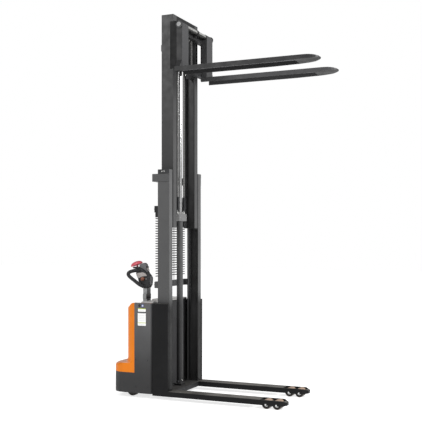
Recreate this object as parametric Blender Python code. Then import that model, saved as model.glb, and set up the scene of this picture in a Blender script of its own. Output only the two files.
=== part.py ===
"""Pedestrian electric stacker with a two-stage mast, drawn with the mast fully raised.

The machine frame has X = 0 at the front face of the mast, +X along the forks, Y = 0 on the
centre line and Z = 0 on the floor. The empty "machine" moves it, so that the world's origin is
on the floor under the middle of the whole stacker.
"""

import math

import bmesh
import bpy
from mathutils import Matrix, Vector

# ---- driving dimensions, in metres ----
GAP = 0.0005                  # clearance between pieces that touch
REAR = -0.594                 # rearmost point: the skirt at the drive end
FORK_TIP = 1.396
ROW_SHIFT = -(REAR + FORK_TIP) / 2

MAST_DEPTH = 0.120
FLANGE = 0.012                # wall thickness of the mast channels
OUTER_HALF = 0.340            # half width over the outer mast
OUTER_LIP = 0.276             # inner edge of its flanges
OUTER_BOTTOM, OUTER_TOP = 0.034, 2.090
INNER_HALF = 0.262
INNER_LIP = 0.194
INNER_BOTTOM, INNER_TOP = 1.560, 3.513
TIE_REAR, TIE_FRONT = -0.173, -0.155
MAST_REAR = -MAST_DEPTH - GAP # where pieces bolted behind the mast begin
BEAM_REAR = -0.145            # rear face of the inner mast's cross beams
BEAM_HALF = 0.225             # their half width

FORK_TOP = 3.005              # each stage travels 1.4575 down from here
FORK_IN, FORK_OUT = 0.190, 0.379
FORK_SKIN = 0.006
FORK_DROP = 0.042             # height of the fork's side skirts
SHANK_IN, SHANK_OUT = 0.203, 0.335
SHANK_REAR, SHANK_FRONT = 0.070, 0.126
SHAFT_X, SHAFT_Z, SHAFT_R = 0.098, 3.390, 0.020
SHANK_BOSS_R = 0.028

LEG_IN, LEG_OUT = 0.243, 0.371
LEG_BOTTOM, LEG_TOP, LEG_TIP = 0.034, 0.080, 1.115
LOAD_WHEEL_R = 0.041
LOAD_WHEEL_X = (0.9355, 1.032)
LOAD_WHEEL_Y = (0.259, 0.355)

BODY_HALF = 0.370
BODY_TOP = 0.872
DIP_FROM = 0.800              # the rear cover's top edge dips down towards this height
BODY_REAR = -0.457
BODY_FRONT = -0.165
FLANK_REAR = -0.159           # rear edge of the side plates that hold the mast's foot
WELL = (0.800, 0.804)         # floor of the well round the tiller's foot
CONSOLE_TOP = 0.899
SEAM_X = -0.345               # joint between the rear cover and the side panels
CORNER_R = 0.120
SKIRT_BOTTOM, SKIRT_TOP = 0.045, 0.230
DECK = (0.200, 0.208)
SHELF = (0.4525, 0.456)       # shelf over the battery

DRIVE_X = -0.4155             # steering axis
DRIVE_WHEEL_R = 0.105
CASTER_X, CASTER_Y, CASTER_TRAIL = -0.385, 0.262, 0.030
CASTER_WHEEL_R = 0.0575

CYLINDER_X = -0.063
TUBE_R, TUBE_BORE, ROD_R = 0.0295, 0.0240, 0.0215
CLAMP = (1.627, 1.694)        # clamp block at the top of the tube
CHAIN_Y, CHAIN_W = 0.068, 0.018
CHAIN_BOTTOM = 1.802          # where the chains leave their anchors
LOWER_BEAM = (3.012, 3.075)   # the carriage beam that the chains pull
SHEAVE_X, SHEAVE_Z, SHEAVE_R = -0.0145, 3.360, 0.034
CHAIN_X = SHEAVE_X - 0.040      # back run of the chains
CHAIN_IN, CHAIN_OUT = 0.0345, 0.0455          # radii of the chain round its sheave
ROLLER_X, ROLLER_R, STUB_R = -0.060, 0.0475, 0.014
MAST_ROLLER_Z = 1.625
CARRIAGE_ROLLER_Z = (3.055, 3.340)
PLATE_IN, PLATE_OUT = 0.170, 0.182            # carriage side plates

TILT_Z = 0.912                # pivot of the tiller arm
ARM_X, ARM_Y = 0.021, 0.038   # half depth and half width of the arm
HEAD_HALF = 0.045
SIDES = (("left", -1), ("right", 1))

COLOURS = {                   # base colour, roughness, metallic
    "charcoal_paint": ((0.055, 0.056, 0.060), 0.45, 0.0),
    "grey_paint": ((0.21, 0.215, 0.215), 0.45, 0.0),
    "light_grey": ((0.50, 0.50, 0.49), 0.45, 0.0),
    "orange_cover": ((0.80, 0.26, 0.045), 0.40, 0.0),
    "steel": ((0.55, 0.55, 0.55), 0.30, 1.0),
    "chrome": ((0.80, 0.80, 0.80), 0.08, 1.0),
    "polyurethane": ((0.36, 0.24, 0.15), 0.55, 0.0),
    "rubber": ((0.02, 0.02, 0.02), 0.80, 0.0),
    "black_plastic": ((0.03, 0.03, 0.032), 0.50, 0.0),
    "red_plastic": ((0.45, 0.03, 0.04), 0.35, 0.0),
    "chain_steel": ((0.16, 0.155, 0.15), 0.45, 1.0),
}

made_materials = {}
frames = {}


# ---- tools ----
def material(name):
    if name not in made_materials:
        colour, roughness, metallic = COLOURS[name]
        made = bpy.data.materials.new(name)
        made.use_nodes = True
        shader = made.node_tree.nodes["Principled BSDF"]
        shader.inputs["Base Color"].default_value = (*colour, 1.0)
        shader.inputs["Roughness"].default_value = roughness
        shader.inputs["Metallic"].default_value = metallic
        made_materials[name] = made
    return made_materials[name]


def add_frame(name, parent, at):
    """An empty on the joint axis of a moving body, at a point of the machine frame."""
    empty = bpy.data.objects.new(name + "_axis", None)
    bpy.context.collection.objects.link(empty)
    at = Vector(at)
    if parent:
        empty.parent = frames[parent][0]
        empty.location = at - frames[parent][1]
    frames[name] = (empty, at)


def add_object(name, mesh_data, colour, body):
    """Links a mesh drawn in the machine frame and hangs it on its body's empty."""
    mesh = bpy.data.meshes.new(name)
    bmesh.ops.recalc_face_normals(mesh_data, faces=mesh_data.faces)
    mesh_data.to_mesh(mesh)
    mesh_data.free()
    piece = bpy.data.objects.new(name, mesh)
    bpy.context.collection.objects.link(piece)
    if colour:
        mesh.materials.append(material(colour))
    empty, at = frames[body]
    piece.parent = empty
    piece.matrix_parent_inverse = Matrix.Translation(-at)
    return piece


def smooth(piece, degrees=40):
    piece.data.shade_smooth()
    piece.data.set_sharp_from_angle(angle=math.radians(degrees))
    return piece


def bevel(piece, width, segments=2):
    modifier = piece.modifiers.new("edge_bevel", "BEVEL")
    modifier.width = width
    modifier.segments = segments
    modifier.limit_method = "ANGLE"
    modifier.angle_limit = math.radians(40)
    return piece


def combine(piece, tool, operation):
    """Adds a Boolean; the tool object is a guide that the build leaves out."""
    tool.hide_render = True
    tool.display_type = "WIRE"
    modifier = piece.modifiers.new(operation.lower(), "BOOLEAN")
    modifier.operation = operation
    modifier.solver = "EXACT"
    modifier.object = tool
    return piece


def along(axis, u, v, w):
    """A point from two outline coordinates and a distance along X, Y or Z."""
    return {"X": (w, u, v), "Y": (u, w, v), "Z": (u, v, w)}[axis]


def prism(name, outline, axis, low, high, colour, body="root"):
    """A closed outline extruded along one axis from low to high."""
    shape = bmesh.new()
    ends = []
    for w in (low, high):
        ends.append([shape.verts.new(along(axis, u, v, w)) for u, v in outline])
    shape.faces.new(ends[0])
    shape.faces.new(ends[1])
    count = len(outline)
    for i in range(count):
        j = (i + 1) % count
        shape.faces.new((ends[0][i], ends[0][j], ends[1][j], ends[1][i]))
    return add_object(name, shape, colour, body)


def box(name, x, y, z, colour, body="root"):
    outline = [(x[0], y[0]), (x[1], y[0]), (x[1], y[1]), (x[0], y[1])]
    return prism(name, outline, "Z", z[0], z[1], colour, body)


def circle(u, v, radius, count, start=0.0, turn=math.tau):
    """Points of an arc; a full turn leaves out the repeated last point."""
    steps = count if turn == math.tau else count - 1
    angles = (start + turn * i / steps for i in range(count))
    return [(u + radius * math.cos(a), v + radius * math.sin(a)) for a in angles]


def cylinder(name, axis, centre, radius, low, high, colour, body="root", count=24):
    outline = circle(centre[0], centre[1], radius, count, start=-math.pi / 2)
    return smooth(prism(name, outline, axis, low, high, colour, body))


def turned(name, axis, centre, profile, colour, body="root", count=24):
    """A ring turned from a closed profile of (radius, place along the axis) points."""
    shape = bmesh.new()
    rings = []
    for i in range(count):
        angle = -math.pi / 2 + math.tau * i / count
        rings.append([
            shape.verts.new(along(axis, centre[0] + r * math.cos(angle),
                                  centre[1] + r * math.sin(angle), w))
            for r, w in profile
        ])
    for i in range(count):
        here, there = rings[i], rings[(i + 1) % count]
        for k in range(len(profile)):
            m = (k + 1) % len(profile)
            shape.faces.new((here[k], here[m], there[m], there[k]))
    return smooth(add_object(name, shape, colour, body))


def mirrored(side, low, high):
    """A range across Y for the left (-1) or right (+1) side."""
    return (side * low, side * high) if side > 0 else (side * high, side * low)


def plan_outline(rear, half, radius, front, arc_points=7):
    """Open plan line from the front on the left, round the rear corners, to the front right."""
    points = [(front, -half)]
    points += circle(rear + radius, -half + radius, radius, arc_points, -math.pi / 2, -math.pi / 2)
    points += circle(rear + radius, half - radius, radius, arc_points, math.pi, -math.pi / 2)
    points.append((front, half))
    return points


def smooth_path(points, steps):
    """Points of a Catmull-Rom curve through the given points."""
    knots = [points[0], *points, points[-1]]
    path = []
    for i in range(1, len(knots) - 2):
        a, b, c, d = (Vector(p) for p in knots[i - 1:i + 3])
        for k in range(steps):
            t = k / steps
            path.append(0.5 * (2 * b + (c - a) * t + (2 * a - 5 * b + 4 * c - d) * t * t
                               + (3 * b - a - 3 * c + d) * t ** 3))
    path.append(Vector(points[-1]))
    return path


def tube(name, points, radius, colour, body):
    """A round bar swept along a smooth path through the given points."""
    path = smooth_path(points, 3)
    shape = bmesh.new()
    rings = []
    side_way = Vector((1.0, 0.0, 0.0))
    for i, place in enumerate(path):
        ahead = (path[min(i + 1, len(path) - 1)] - path[max(i - 1, 0)]).normalized()
        side_way = (side_way - ahead * side_way.dot(ahead)).normalized()
        across = ahead.cross(side_way)
        rings.append([shape.verts.new(place + radius * (math.cos(a) * side_way
                                                        + math.sin(a) * across))
                      for a in (math.tau * k / 10 for k in range(10))])
    for here, there in zip(rings, rings[1:]):
        for k in range(10):
            m = (k + 1) % 10
            shape.faces.new((here[k], here[m], there[m], there[k]))
    shape.faces.new(rings[0])
    shape.faces.new(rings[-1])
    return smooth(add_object(name, shape, colour, body))


# ---- chassis ----
def build_chassis():
    front = SEAM_X - GAP
    skirt = plan_outline(REAR, BODY_HALF, CORNER_R, front)
    wall = 0.008
    inner = plan_outline(REAR + wall, BODY_HALF - wall, CORNER_R - wall, front)
    shape = bmesh.new()
    loops = []
    for points in (skirt, inner):
        for z in (SKIRT_BOTTOM, SKIRT_TOP):
            loops.append([shape.verts.new((x, y, z)) for x, y in points])
    last = len(skirt) - 1
    for i in range(last):
        for one, two in ((0, 1), (1, 3), (3, 2), (2, 0)):
            shape.faces.new((loops[one][i], loops[one][i + 1], loops[two][i + 1],
                             loops[two][i]))
    for i in (0, last):
        shape.faces.new([loops[k][i] for k in (0, 1, 3, 2)])
    chassis = smooth(add_object("chassis_frame", shape, "charcoal_paint", "root"))

    margin = wall - 0.001
    deck = plan_outline(REAR + margin, BODY_HALF - margin, CORNER_R - margin, -0.197)
    combine(chassis, prism("deck_plate", deck, "Z", *DECK, None), "UNION")
    hole = cylinder("deck_hole", "Z", (DRIVE_X, 0), 0.105, 0.19, 0.22, None, count=32)
    combine(chassis, hole, "DIFFERENCE")
    bearing = [(0.1005, DECK[0]), (0.1180, DECK[0]), (0.1180, 0.240), (0.1005, 0.240)]
    combine(chassis, turned("deck_bearing", "Z", (DRIVE_X, 0), bearing, None, count=32), "UNION")
    tray = box("deck_tray", (-0.290, BODY_FRONT - 0.010), (-0.280, 0.280), (0.207, 0.2465), None)
    combine(chassis, tray, "UNION")
    for name, side in SIDES:
        y = side * CASTER_Y
        pad = box(f"deck_pad_{name}", (CASTER_X - 0.045, CASTER_X + 0.045),
                  (y - 0.045, y + 0.045), (0.188, 0.201), None)
        combine(chassis, pad, "UNION")

    crossmember = [(-MAST_DEPTH, -0.2755), (-GAP, -0.2755), (-GAP, -0.2425), (0.020, -0.2425),
                   (0.020, 0.2425), (-GAP, 0.2425), (-GAP, 0.2755), (-MAST_DEPTH, 0.2755)]
    crossbar = prism("base_crossmember", crossmember, "Z", LEG_BOTTOM, LEG_TOP,
                     "charcoal_paint")
    foot = box("cylinder_foot", (CYLINDER_X - 0.035, CYLINDER_X + 0.035), (-0.045, 0.045),
               (LEG_TOP - 0.002, 0.100), None)
    combine(crossbar, foot, "UNION")
    bulkhead = box("bulkhead_plate", (-0.1640, -0.1600), (-0.360, 0.360),
                   (0.060, 0.870), "charcoal_paint")
    shelf = box("bulkhead_shelf", (-0.338, -0.1620), (-0.330, 0.330), SHELF, None)
    combine(bulkhead, shelf, "UNION")


def build_legs():
    for name, side in SIDES:
        taper, corner = LEG_TIP - 0.050, 0.040
        plan = [(GAP, LEG_IN), (taper, LEG_IN), (LEG_TIP, LEG_IN + corner),
                (LEG_TIP, LEG_OUT - corner), (taper, LEG_OUT), (GAP, LEG_OUT),
                (GAP, BODY_HALF), (FLANK_REAR, BODY_HALF), (FLANK_REAR, OUTER_HALF + GAP),
                (GAP, OUTER_HALF + GAP)]
        leg = prism(f"support_leg_{name}", [(x, side * y) for x, y in plan], "Z", LEG_BOTTOM,
                    LEG_TOP, "charcoal_paint")
        flank = box(f"leg_flank_{name}", (FLANK_REAR, 0),
                    mirrored(side, OUTER_HALF + GAP, BODY_HALF), (LEG_TOP - 0.002, 0.870), None)
        combine(leg, flank, "UNION")
        for part, start, height in (("hollow", 0.010, (0.0, 0.071)),
                                    ("window", 0.880, (0.060, 0.1))):
            plan = [(start, LEG_IN + 0.010), (taper, LEG_IN + 0.010), (1.090, LEG_IN + 0.030),
                    (1.090, LEG_OUT - 0.030), (taper, LEG_OUT - 0.010),
                    (start, LEG_OUT - 0.010)]
            cavity = prism(f"leg_{part}_{name}", [(x, side * y) for x, y in plan], "Z", *height,
                           None)
            combine(leg, cavity, "DIFFERENCE")
        slope = [(1.070, LEG_TOP), (LEG_TIP + 0.01, LEG_TOP - 0.017), (LEG_TIP + 0.01, 0.1),
                 (1.070, 0.1)]
        sloped = prism(f"leg_toe_cut_{name}", slope, "Y", *mirrored(side, 0.2, 0.4), None)
        combine(leg, sloped, "DIFFERENCE")
        heel = [(1.080, LEG_BOTTOM), (1.080, 0.02), (LEG_TIP + 0.01, 0.02),
                (LEG_TIP + 0.01, LEG_BOTTOM + 0.006)]
        lifted = prism(f"leg_toe_under_{name}", heel, "Y", *mirrored(side, 0.2, 0.4), None)
        combine(leg, lifted, "DIFFERENCE")
        for number, x in enumerate(LOAD_WHEEL_X, start=1):
            low, high = mirrored(side, LEG_IN - 0.0015, LEG_OUT + 0.0015)
            axle = cylinder(f"load_axle_{name}_{number}", "Y", (x, LOAD_WHEEL_R), 0.0080, low,
                            high, None, count=12)
            combine(leg, axle, "UNION")
            body = f"load_wheel_{name}_{number}"
            add_frame(body, "root", (x, side * (LEG_IN + LEG_OUT) / 2, LOAD_WHEEL_R))
            low, high = mirrored(side, *LOAD_WHEEL_Y)
            rim = 0.006
            tyre = [(0.0088, low), (LOAD_WHEEL_R - rim, low), (LOAD_WHEEL_R, low + rim),
                    (LOAD_WHEEL_R, high - rim), (LOAD_WHEEL_R - rim, high), (0.0088, high)]
            turned(body, "Y", (x, LOAD_WHEEL_R), tyre, "polyurethane", body)


# ---- covers ----
def offset_profile(points, distance):
    """The profile moved sideways by a distance, with mitred corners; it turns to its left."""
    moved = []
    for i, (x, z) in enumerate(points):
        normals = []
        for a, b in ((i - 1, i), (i, i + 1)):
            if a >= 0 and b < len(points):
                dx, dz = points[b][0] - points[a][0], points[b][1] - points[a][1]
                length = math.hypot(dx, dz)
                normals.append((dz / length, -dx / length))
        nx = sum(n[0] for n in normals)
        nz = sum(n[1] for n in normals)
        scale = distance * len(normals) / (nx * nx + nz * nz)
        moved.append((x + nx * scale, z + nz * scale))
    return moved


def build_rear_cover():
    """Orange shell: rounded rear corners, a foot flare at the bottom and a rolled top edge.

    The top edge falls away to the rear, so that the tiller can swing down over it.
    """
    profile = [(REAR, 0.2305), (REAR, 0.284), (REAR + 0.008, 0.303), (REAR + 0.030, 0.314),
               (-0.500, 0.319), (-0.472, 0.330), (BODY_REAR, 0.360), (BODY_REAR, 0.835),
               (BODY_REAR + 0.005, 0.860), (BODY_REAR + 0.016, BODY_TOP)]
    wall = 0.004

    def lowered(x, z):
        share = min(1.0, max(0.0, (-0.360 - x) / 0.070))
        share = share * share * (3 - 2 * share)
        return z if z < DIP_FROM else DIP_FROM + (z - DIP_FROM) * (1 - 0.54 * share)

    inside = offset_profile(profile, wall)
    inside[0] = (inside[0][0], profile[0][1])
    inside[-1] = (inside[-1][0], profile[-1][1])
    shape = bmesh.new()
    grids = []
    for line, inset in ((profile, 0.0), (inside, wall)):
        rows = []
        for x, z in line:
            radius = min(CORNER_R, SEAM_X - 0.002 - x + inset) - inset
            plan = plan_outline(x, BODY_HALF - inset, radius, SEAM_X - GAP)
            rows.append([shape.verts.new((px, py, lowered(px, z))) for px, py in plan])
        grids.append(rows)
    rows, columns = len(profile), len(grids[0][0])
    for grid in grids:
        for r in range(rows - 1):
            for c in range(columns - 1):
                shape.faces.new((grid[r][c], grid[r][c + 1], grid[r + 1][c + 1], grid[r + 1][c]))
    outer, inner = grids
    for r in (0, rows - 1):
        for c in range(columns - 1):
            shape.faces.new((outer[r][c], outer[r][c + 1], inner[r][c + 1], inner[r][c]))
    for c in (0, columns - 1):
        for r in range(rows - 1):
            shape.faces.new((outer[r][c], outer[r + 1][c], inner[r + 1][c], inner[r][c]))
    smooth(add_object("rear_cover", shape, "orange_cover", "root"), 50)


def build_covers():
    build_rear_cover()
    wall = 0.005
    corner = 0.030
    for name, side in SIDES:
        bend = BODY_FRONT - corner
        outer = [(SEAM_X, BODY_HALF)]
        outer += circle(bend, BODY_HALF - corner, corner, 6, math.pi / 2, -math.pi / 2)
        inner = [(SEAM_X, BODY_HALF - wall)]
        inner += circle(bend, BODY_HALF - corner, corner - wall, 6, math.pi / 2, -math.pi / 2)
        outline = [(x, side * y) for x, y in outer + inner[::-1]]
        smooth(prism(f"side_panel_{name}", outline, "Z", SKIRT_BOTTOM, BODY_TOP, "grey_paint"))

    # a raised deck in front, and behind it a well that the steering column rises through
    rear, under = BODY_REAR + 0.0065, BODY_TOP + GAP
    plan = plan_outline(rear, BODY_HALF - 0.006, 0.1035, BODY_FRONT)
    cover = prism("top_cover", plan, "Z", WELL[0], 0.885, "grey_paint")
    above = [(-0.274, 0.950), (-0.274, 0.885), (-0.3035, WELL[1]), (rear - 0.020, WELL[1]),
             (rear - 0.020, 0.950)]
    combine(cover, prism("well_cut", above, "Y", -0.4, 0.4, None), "DIFFERENCE")
    below = [(BODY_FRONT + 0.020, 0.750), (BODY_FRONT + 0.020, under), (-0.270, under),
             (-0.298, WELL[0]), (-0.298, 0.750)]
    combine(cover, prism("deck_cut", below, "Y", -0.4, 0.4, None), "DIFFERENCE")
    console = box("console", (-0.262, -0.175), (-0.190, 0.190), (0.884, CONSOLE_TOP), None)
    combine(cover, console, "UNION")
    bevel(console, 0.006)
    hole = cylinder("column_hole", "Z", (DRIVE_X, 0), 0.0225, 0.8, 0.95, None, count=24)
    combine(cover, hole, "DIFFERENCE")
    switches = (("key_switch", -0.060, "steel"), ("emergency_stop", 0.060, "red_plastic"))
    for name, y, colour in switches:
        centre = (-0.225, y)
        pocket = cylinder(name + "_pocket", "Z", centre, 0.0105, 0.860, 0.91, None, count=16)
        combine(cover, pocket, "DIFFERENCE")
        add_frame(name, "root", (*centre, CONSOLE_TOP))
        cylinder(name, "Z", centre, 0.0100, 0.874, CONSOLE_TOP + 0.008, colour, name, 16)
    bow = box("key_bow", (-0.239, -0.211), (-0.0615, -0.0585), (0.903, 0.922), None,
              "key_switch")
    combine(bpy.data.objects["key_switch"], bow, "UNION")
    cap = cylinder("stop_cap", "Z", (-0.225, 0.060), 0.0190, 0.9060, 0.925, None,
                   "emergency_stop", 20)
    combine(bpy.data.objects["emergency_stop"], cap, "UNION")


# ---- inside the body ----
def build_internals():
    box("battery", (-0.335, -0.176), (-0.270, 0.270), (0.247, 0.452), "black_plastic")
    unit = box("hydraulic_power_unit", (-0.330, -0.190), (-0.250, -0.050),
               (SHELF[1] + GAP, 0.640), "black_plastic")
    motor = cylinder("pump_motor", "Y", (-0.255, 0.520), 0.055, -0.060, 0.080, None)
    combine(unit, motor, "UNION")
    box("motor_controller", (-0.320, -0.200), (0.110, 0.290), (SHELF[1] + GAP, 0.530),
        "black_plastic")


def build_drive_unit():
    add_frame("drive_unit", "root", (DRIVE_X, 0, DRIVE_WHEEL_R))
    gearbox = cylinder("gearbox", "Z", (DRIVE_X, 0), 0.098, 0.2155, 0.2420, "steel",
                       "drive_unit", 32)
    case = box("gearbox_case", (DRIVE_X - 0.048, DRIVE_X + 0.048), (0.038, 0.085),
               (0.050, 0.225), None, "drive_unit")
    combine(gearbox, case, "UNION")
    axle = cylinder("drive_axle", "Y", (DRIVE_X, DRIVE_WHEEL_R), 0.0080, -0.042, 0.045, None,
                    "drive_unit", 16)
    combine(gearbox, axle, "UNION")
    motor = cylinder("drive_motor_and_column", "Z", (DRIVE_X, 0), 0.062, 0.2425, 0.306,
                     "charcoal_paint", "drive_unit")
    brake = cylinder("motor_brake", "Z", (DRIVE_X, 0), 0.034, 0.305, 0.400, None, "drive_unit")
    combine(motor, brake, "UNION")
    column = cylinder("steering_column", "Z", (DRIVE_X, 0), 0.020, 0.399, 0.889, None,
                      "drive_unit")
    combine(motor, column, "UNION")
    foot = box("column_foot", (DRIVE_X - 0.020, DRIVE_X + 0.020), (-0.042, 0.042),
               (0.8395, 0.8885), None, "drive_unit")
    combine(motor, foot, "UNION")
    fork = box("clevis_block", (DRIVE_X - 0.018, DRIVE_X + 0.018), (-0.050, 0.050),
               (0.887, TILT_Z + 0.018), None, "drive_unit")
    combine(motor, fork, "UNION")
    slot = box("clevis_slot", (-0.5, -0.3), (-ARM_Y - GAP, ARM_Y + GAP), (0.890, 0.95), None,
               "drive_unit")
    combine(motor, slot, "DIFFERENCE")
    pin = cylinder("tiller_pin", "Y", (DRIVE_X, TILT_Z), 0.0080, -0.0512, 0.0512, None,
                   "drive_unit", 16)
    combine(motor, pin, "UNION")

    add_frame("drive_wheel", "drive_unit", (DRIVE_X, 0, DRIVE_WHEEL_R))
    tread = [(0.0085, -0.035), (DRIVE_WHEEL_R - 0.006, -0.035), (DRIVE_WHEEL_R, -0.029),
             (DRIVE_WHEEL_R, 0.029), (DRIVE_WHEEL_R - 0.006, 0.035), (0.0085, 0.035)]
    turned("drive_wheel", "Y", (DRIVE_X, DRIVE_WHEEL_R), tread, "polyurethane", "drive_wheel",
           36)


def build_casters():
    for name, side in SIDES:
        y = side * CASTER_Y
        wheel_x = CASTER_X - CASTER_TRAIL
        swivel = f"caster_{name}"
        add_frame(swivel, "root", (CASTER_X, y, 0.15))
        yoke = [(y - 0.034, 0.035), (y - 0.028, 0.035), (y - 0.028, 0.130), (y + 0.028, 0.130),
                (y + 0.028, 0.035), (y + 0.034, 0.035), (y + 0.034, 0.140), (y - 0.034, 0.140)]
        fork = prism(f"caster_fork_{name}", yoke, "X", wheel_x - 0.022, wheel_x + 0.045, "steel",
                     swivel)
        head = cylinder(f"caster_head_{name}", "Z", (CASTER_X, y), 0.030, 0.132, 0.1875, None,
                        swivel, 20)
        combine(fork, head, "UNION")
        axle = cylinder(f"caster_axle_{name}", "Y", (wheel_x, CASTER_WHEEL_R), 0.0080,
                        y - 0.032, y + 0.032, None, swivel, 16)
        combine(fork, axle, "UNION")
        wheel = f"caster_wheel_{name}"
        add_frame(wheel, swivel, (wheel_x, y, CASTER_WHEEL_R))
        edge = CASTER_WHEEL_R - 0.006
        tread = [(0.0085, y - 0.024), (edge, y - 0.024), (CASTER_WHEEL_R, y - 0.018),
                 (CASTER_WHEEL_R, y + 0.018), (edge, y + 0.024), (0.0085, y + 0.024)]
        turned(wheel, "Y", (wheel_x, CASTER_WHEEL_R), tread, "rubber", wheel, 28)


# ---- mast ----
def channel(side, outer, lip):
    """Plan outline of a mast channel that opens towards the middle of the machine."""
    web = outer - FLANGE
    points = [(-MAST_DEPTH, outer), (0, outer), (0, lip), (-FLANGE, lip), (-FLANGE, web),
              (FLANGE - MAST_DEPTH, web), (FLANGE - MAST_DEPTH, lip), (-MAST_DEPTH, lip)]
    return [(x, side * y) for x, y in points]


def rear_tie(name, low, high, wraps=False):
    """A bar behind the outer mast with an arm to each upright, or a cheek along its side."""
    arm, half_width, rear = 0.300, 0.320, TIE_REAR + 0.008
    if wraps:
        rear = TIE_REAR
        cheek, inner, front = OUTER_HALF + 0.0085, OUTER_HALF + GAP, -0.004
        half = [(rear, cheek), (front, cheek), (front, inner), (MAST_REAR, inner)]
    else:
        half = [(rear, half_width), (MAST_REAR, half_width)]
    half += [(MAST_REAR, arm), (TIE_FRONT, arm)]
    outline = half + [(x, -y) for x, y in reversed(half)]
    prism(name, outline, "Z", low, high, "charcoal_paint")


def build_outer_mast():
    for name, side in SIDES:
        prism(f"outer_upright_{name}", channel(side, OUTER_HALF, OUTER_LIP), "Z", OUTER_BOTTOM,
              OUTER_TOP, "charcoal_paint")
    rear_tie("outer_top_tie", 1.980, 2.050, wraps=True)
    rear_tie("outer_middle_tie", 1.008, 1.068)
    rear_tie("guard_top_bar", 1.700, 1.760)
    support = box("cylinder_cross_bar", (-0.150, MAST_REAR), (-0.330, 0.330), (1.655, 1.702),
                  None)
    combine(bpy.data.objects["guard_top_bar"], support, "UNION")


def build_guard():
    """Flat wire grille: rows of wires between three uprights, as one extruded grid."""
    half, wire, rows = 0.300, 0.004, 24
    low, high, first, last = 1.0685, 1.6995, 1.115, 1.646
    uprights = [-half, -wire / 2, half - wire]
    pitch = (last - first - wire) / (rows - 1)
    ys = sorted({v for y in uprights for v in (y, y + wire)})
    zs = [low]
    for i in range(rows):
        zs += [first + i * pitch, first + i * pitch + wire]
    zs.append(high)
    shape = bmesh.new()
    corners = {}

    def corner(i, k, x):
        if (i, k, x) not in corners:
            corners[i, k, x] = shape.verts.new((x, ys[i], zs[k]))
        return corners[i, k, x]

    def filled(i, k):
        if not (0 <= i < len(ys) - 1 and 0 <= k < len(zs) - 1):
            return False
        return i % 2 == 0 or k % 2 == 1

    rear, front = -0.1625, -0.1575
    for i in range(len(ys) - 1):
        for k in range(len(zs) - 1):
            if not filled(i, k):
                continue
            for x in (rear, front):
                shape.faces.new([corner(i, k, x), corner(i + 1, k, x), corner(i + 1, k + 1, x),
                                 corner(i, k + 1, x)])
            edges = (((i - 1, k), (i, k), (i, k + 1)), ((i + 1, k), (i + 1, k), (i + 1, k + 1)),
                     ((i, k - 1), (i, k), (i + 1, k)), ((i, k + 1), (i, k + 1), (i + 1, k + 1)))
            for neighbour, a, b in edges:
                if not filled(*neighbour):
                    shape.faces.new([corner(*a, rear), corner(*b, rear), corner(*b, front),
                                     corner(*a, front)])
    add_object("mesh_guard", shape, "charcoal_paint", "root")


def build_cylinder():
    """Tube, and the clamp block that holds its top, the gland and the two chain anchors."""
    centre = (CYLINDER_X, 0)
    tube = cylinder("cylinder_tube", "Z", centre, TUBE_R, 0.1005, CLAMP[1] - 0.002,
                    "charcoal_paint", count=28)
    bore = cylinder("tube_bore", "Z", centre, TUBE_BORE, 0.112, 1.8, None, count=28)
    combine(tube, bore, "DIFFERENCE")
    clamp = box("cylinder_clamp", (-MAST_DEPTH, -0.029), (-0.078, 0.078), CLAMP, "light_grey")
    hole = cylinder("clamp_hole", "Z", centre, TUBE_R + GAP, 1.6, 1.75, None, count=28)
    combine(clamp, hole, "DIFFERENCE")
    inner, outer, low, high = ROD_R + GAP, 0.034, CLAMP[1] - 0.001, 1.712
    gland = [(inner, low), (outer, low), (outer, high), (inner, high)]
    combine(clamp, turned("gland", "Z", centre, gland, None, count=28), "UNION")
    for name, side in SIDES:
        y = side * CHAIN_Y
        anchor = cylinder(f"chain_anchor_{name}", "Z", (CHAIN_X, y), 0.006, CLAMP[1] - 0.001,
                          1.765, None, count=12)
        combine(clamp, anchor, "UNION")
        clevis = box(f"anchor_clevis_{name}", (CHAIN_X - 0.007, CHAIN_X + 0.007),
                     (y - 0.007, y + 0.007), (1.760, CHAIN_BOTTOM - GAP), None)
        combine(clamp, clevis, "UNION")


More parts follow.
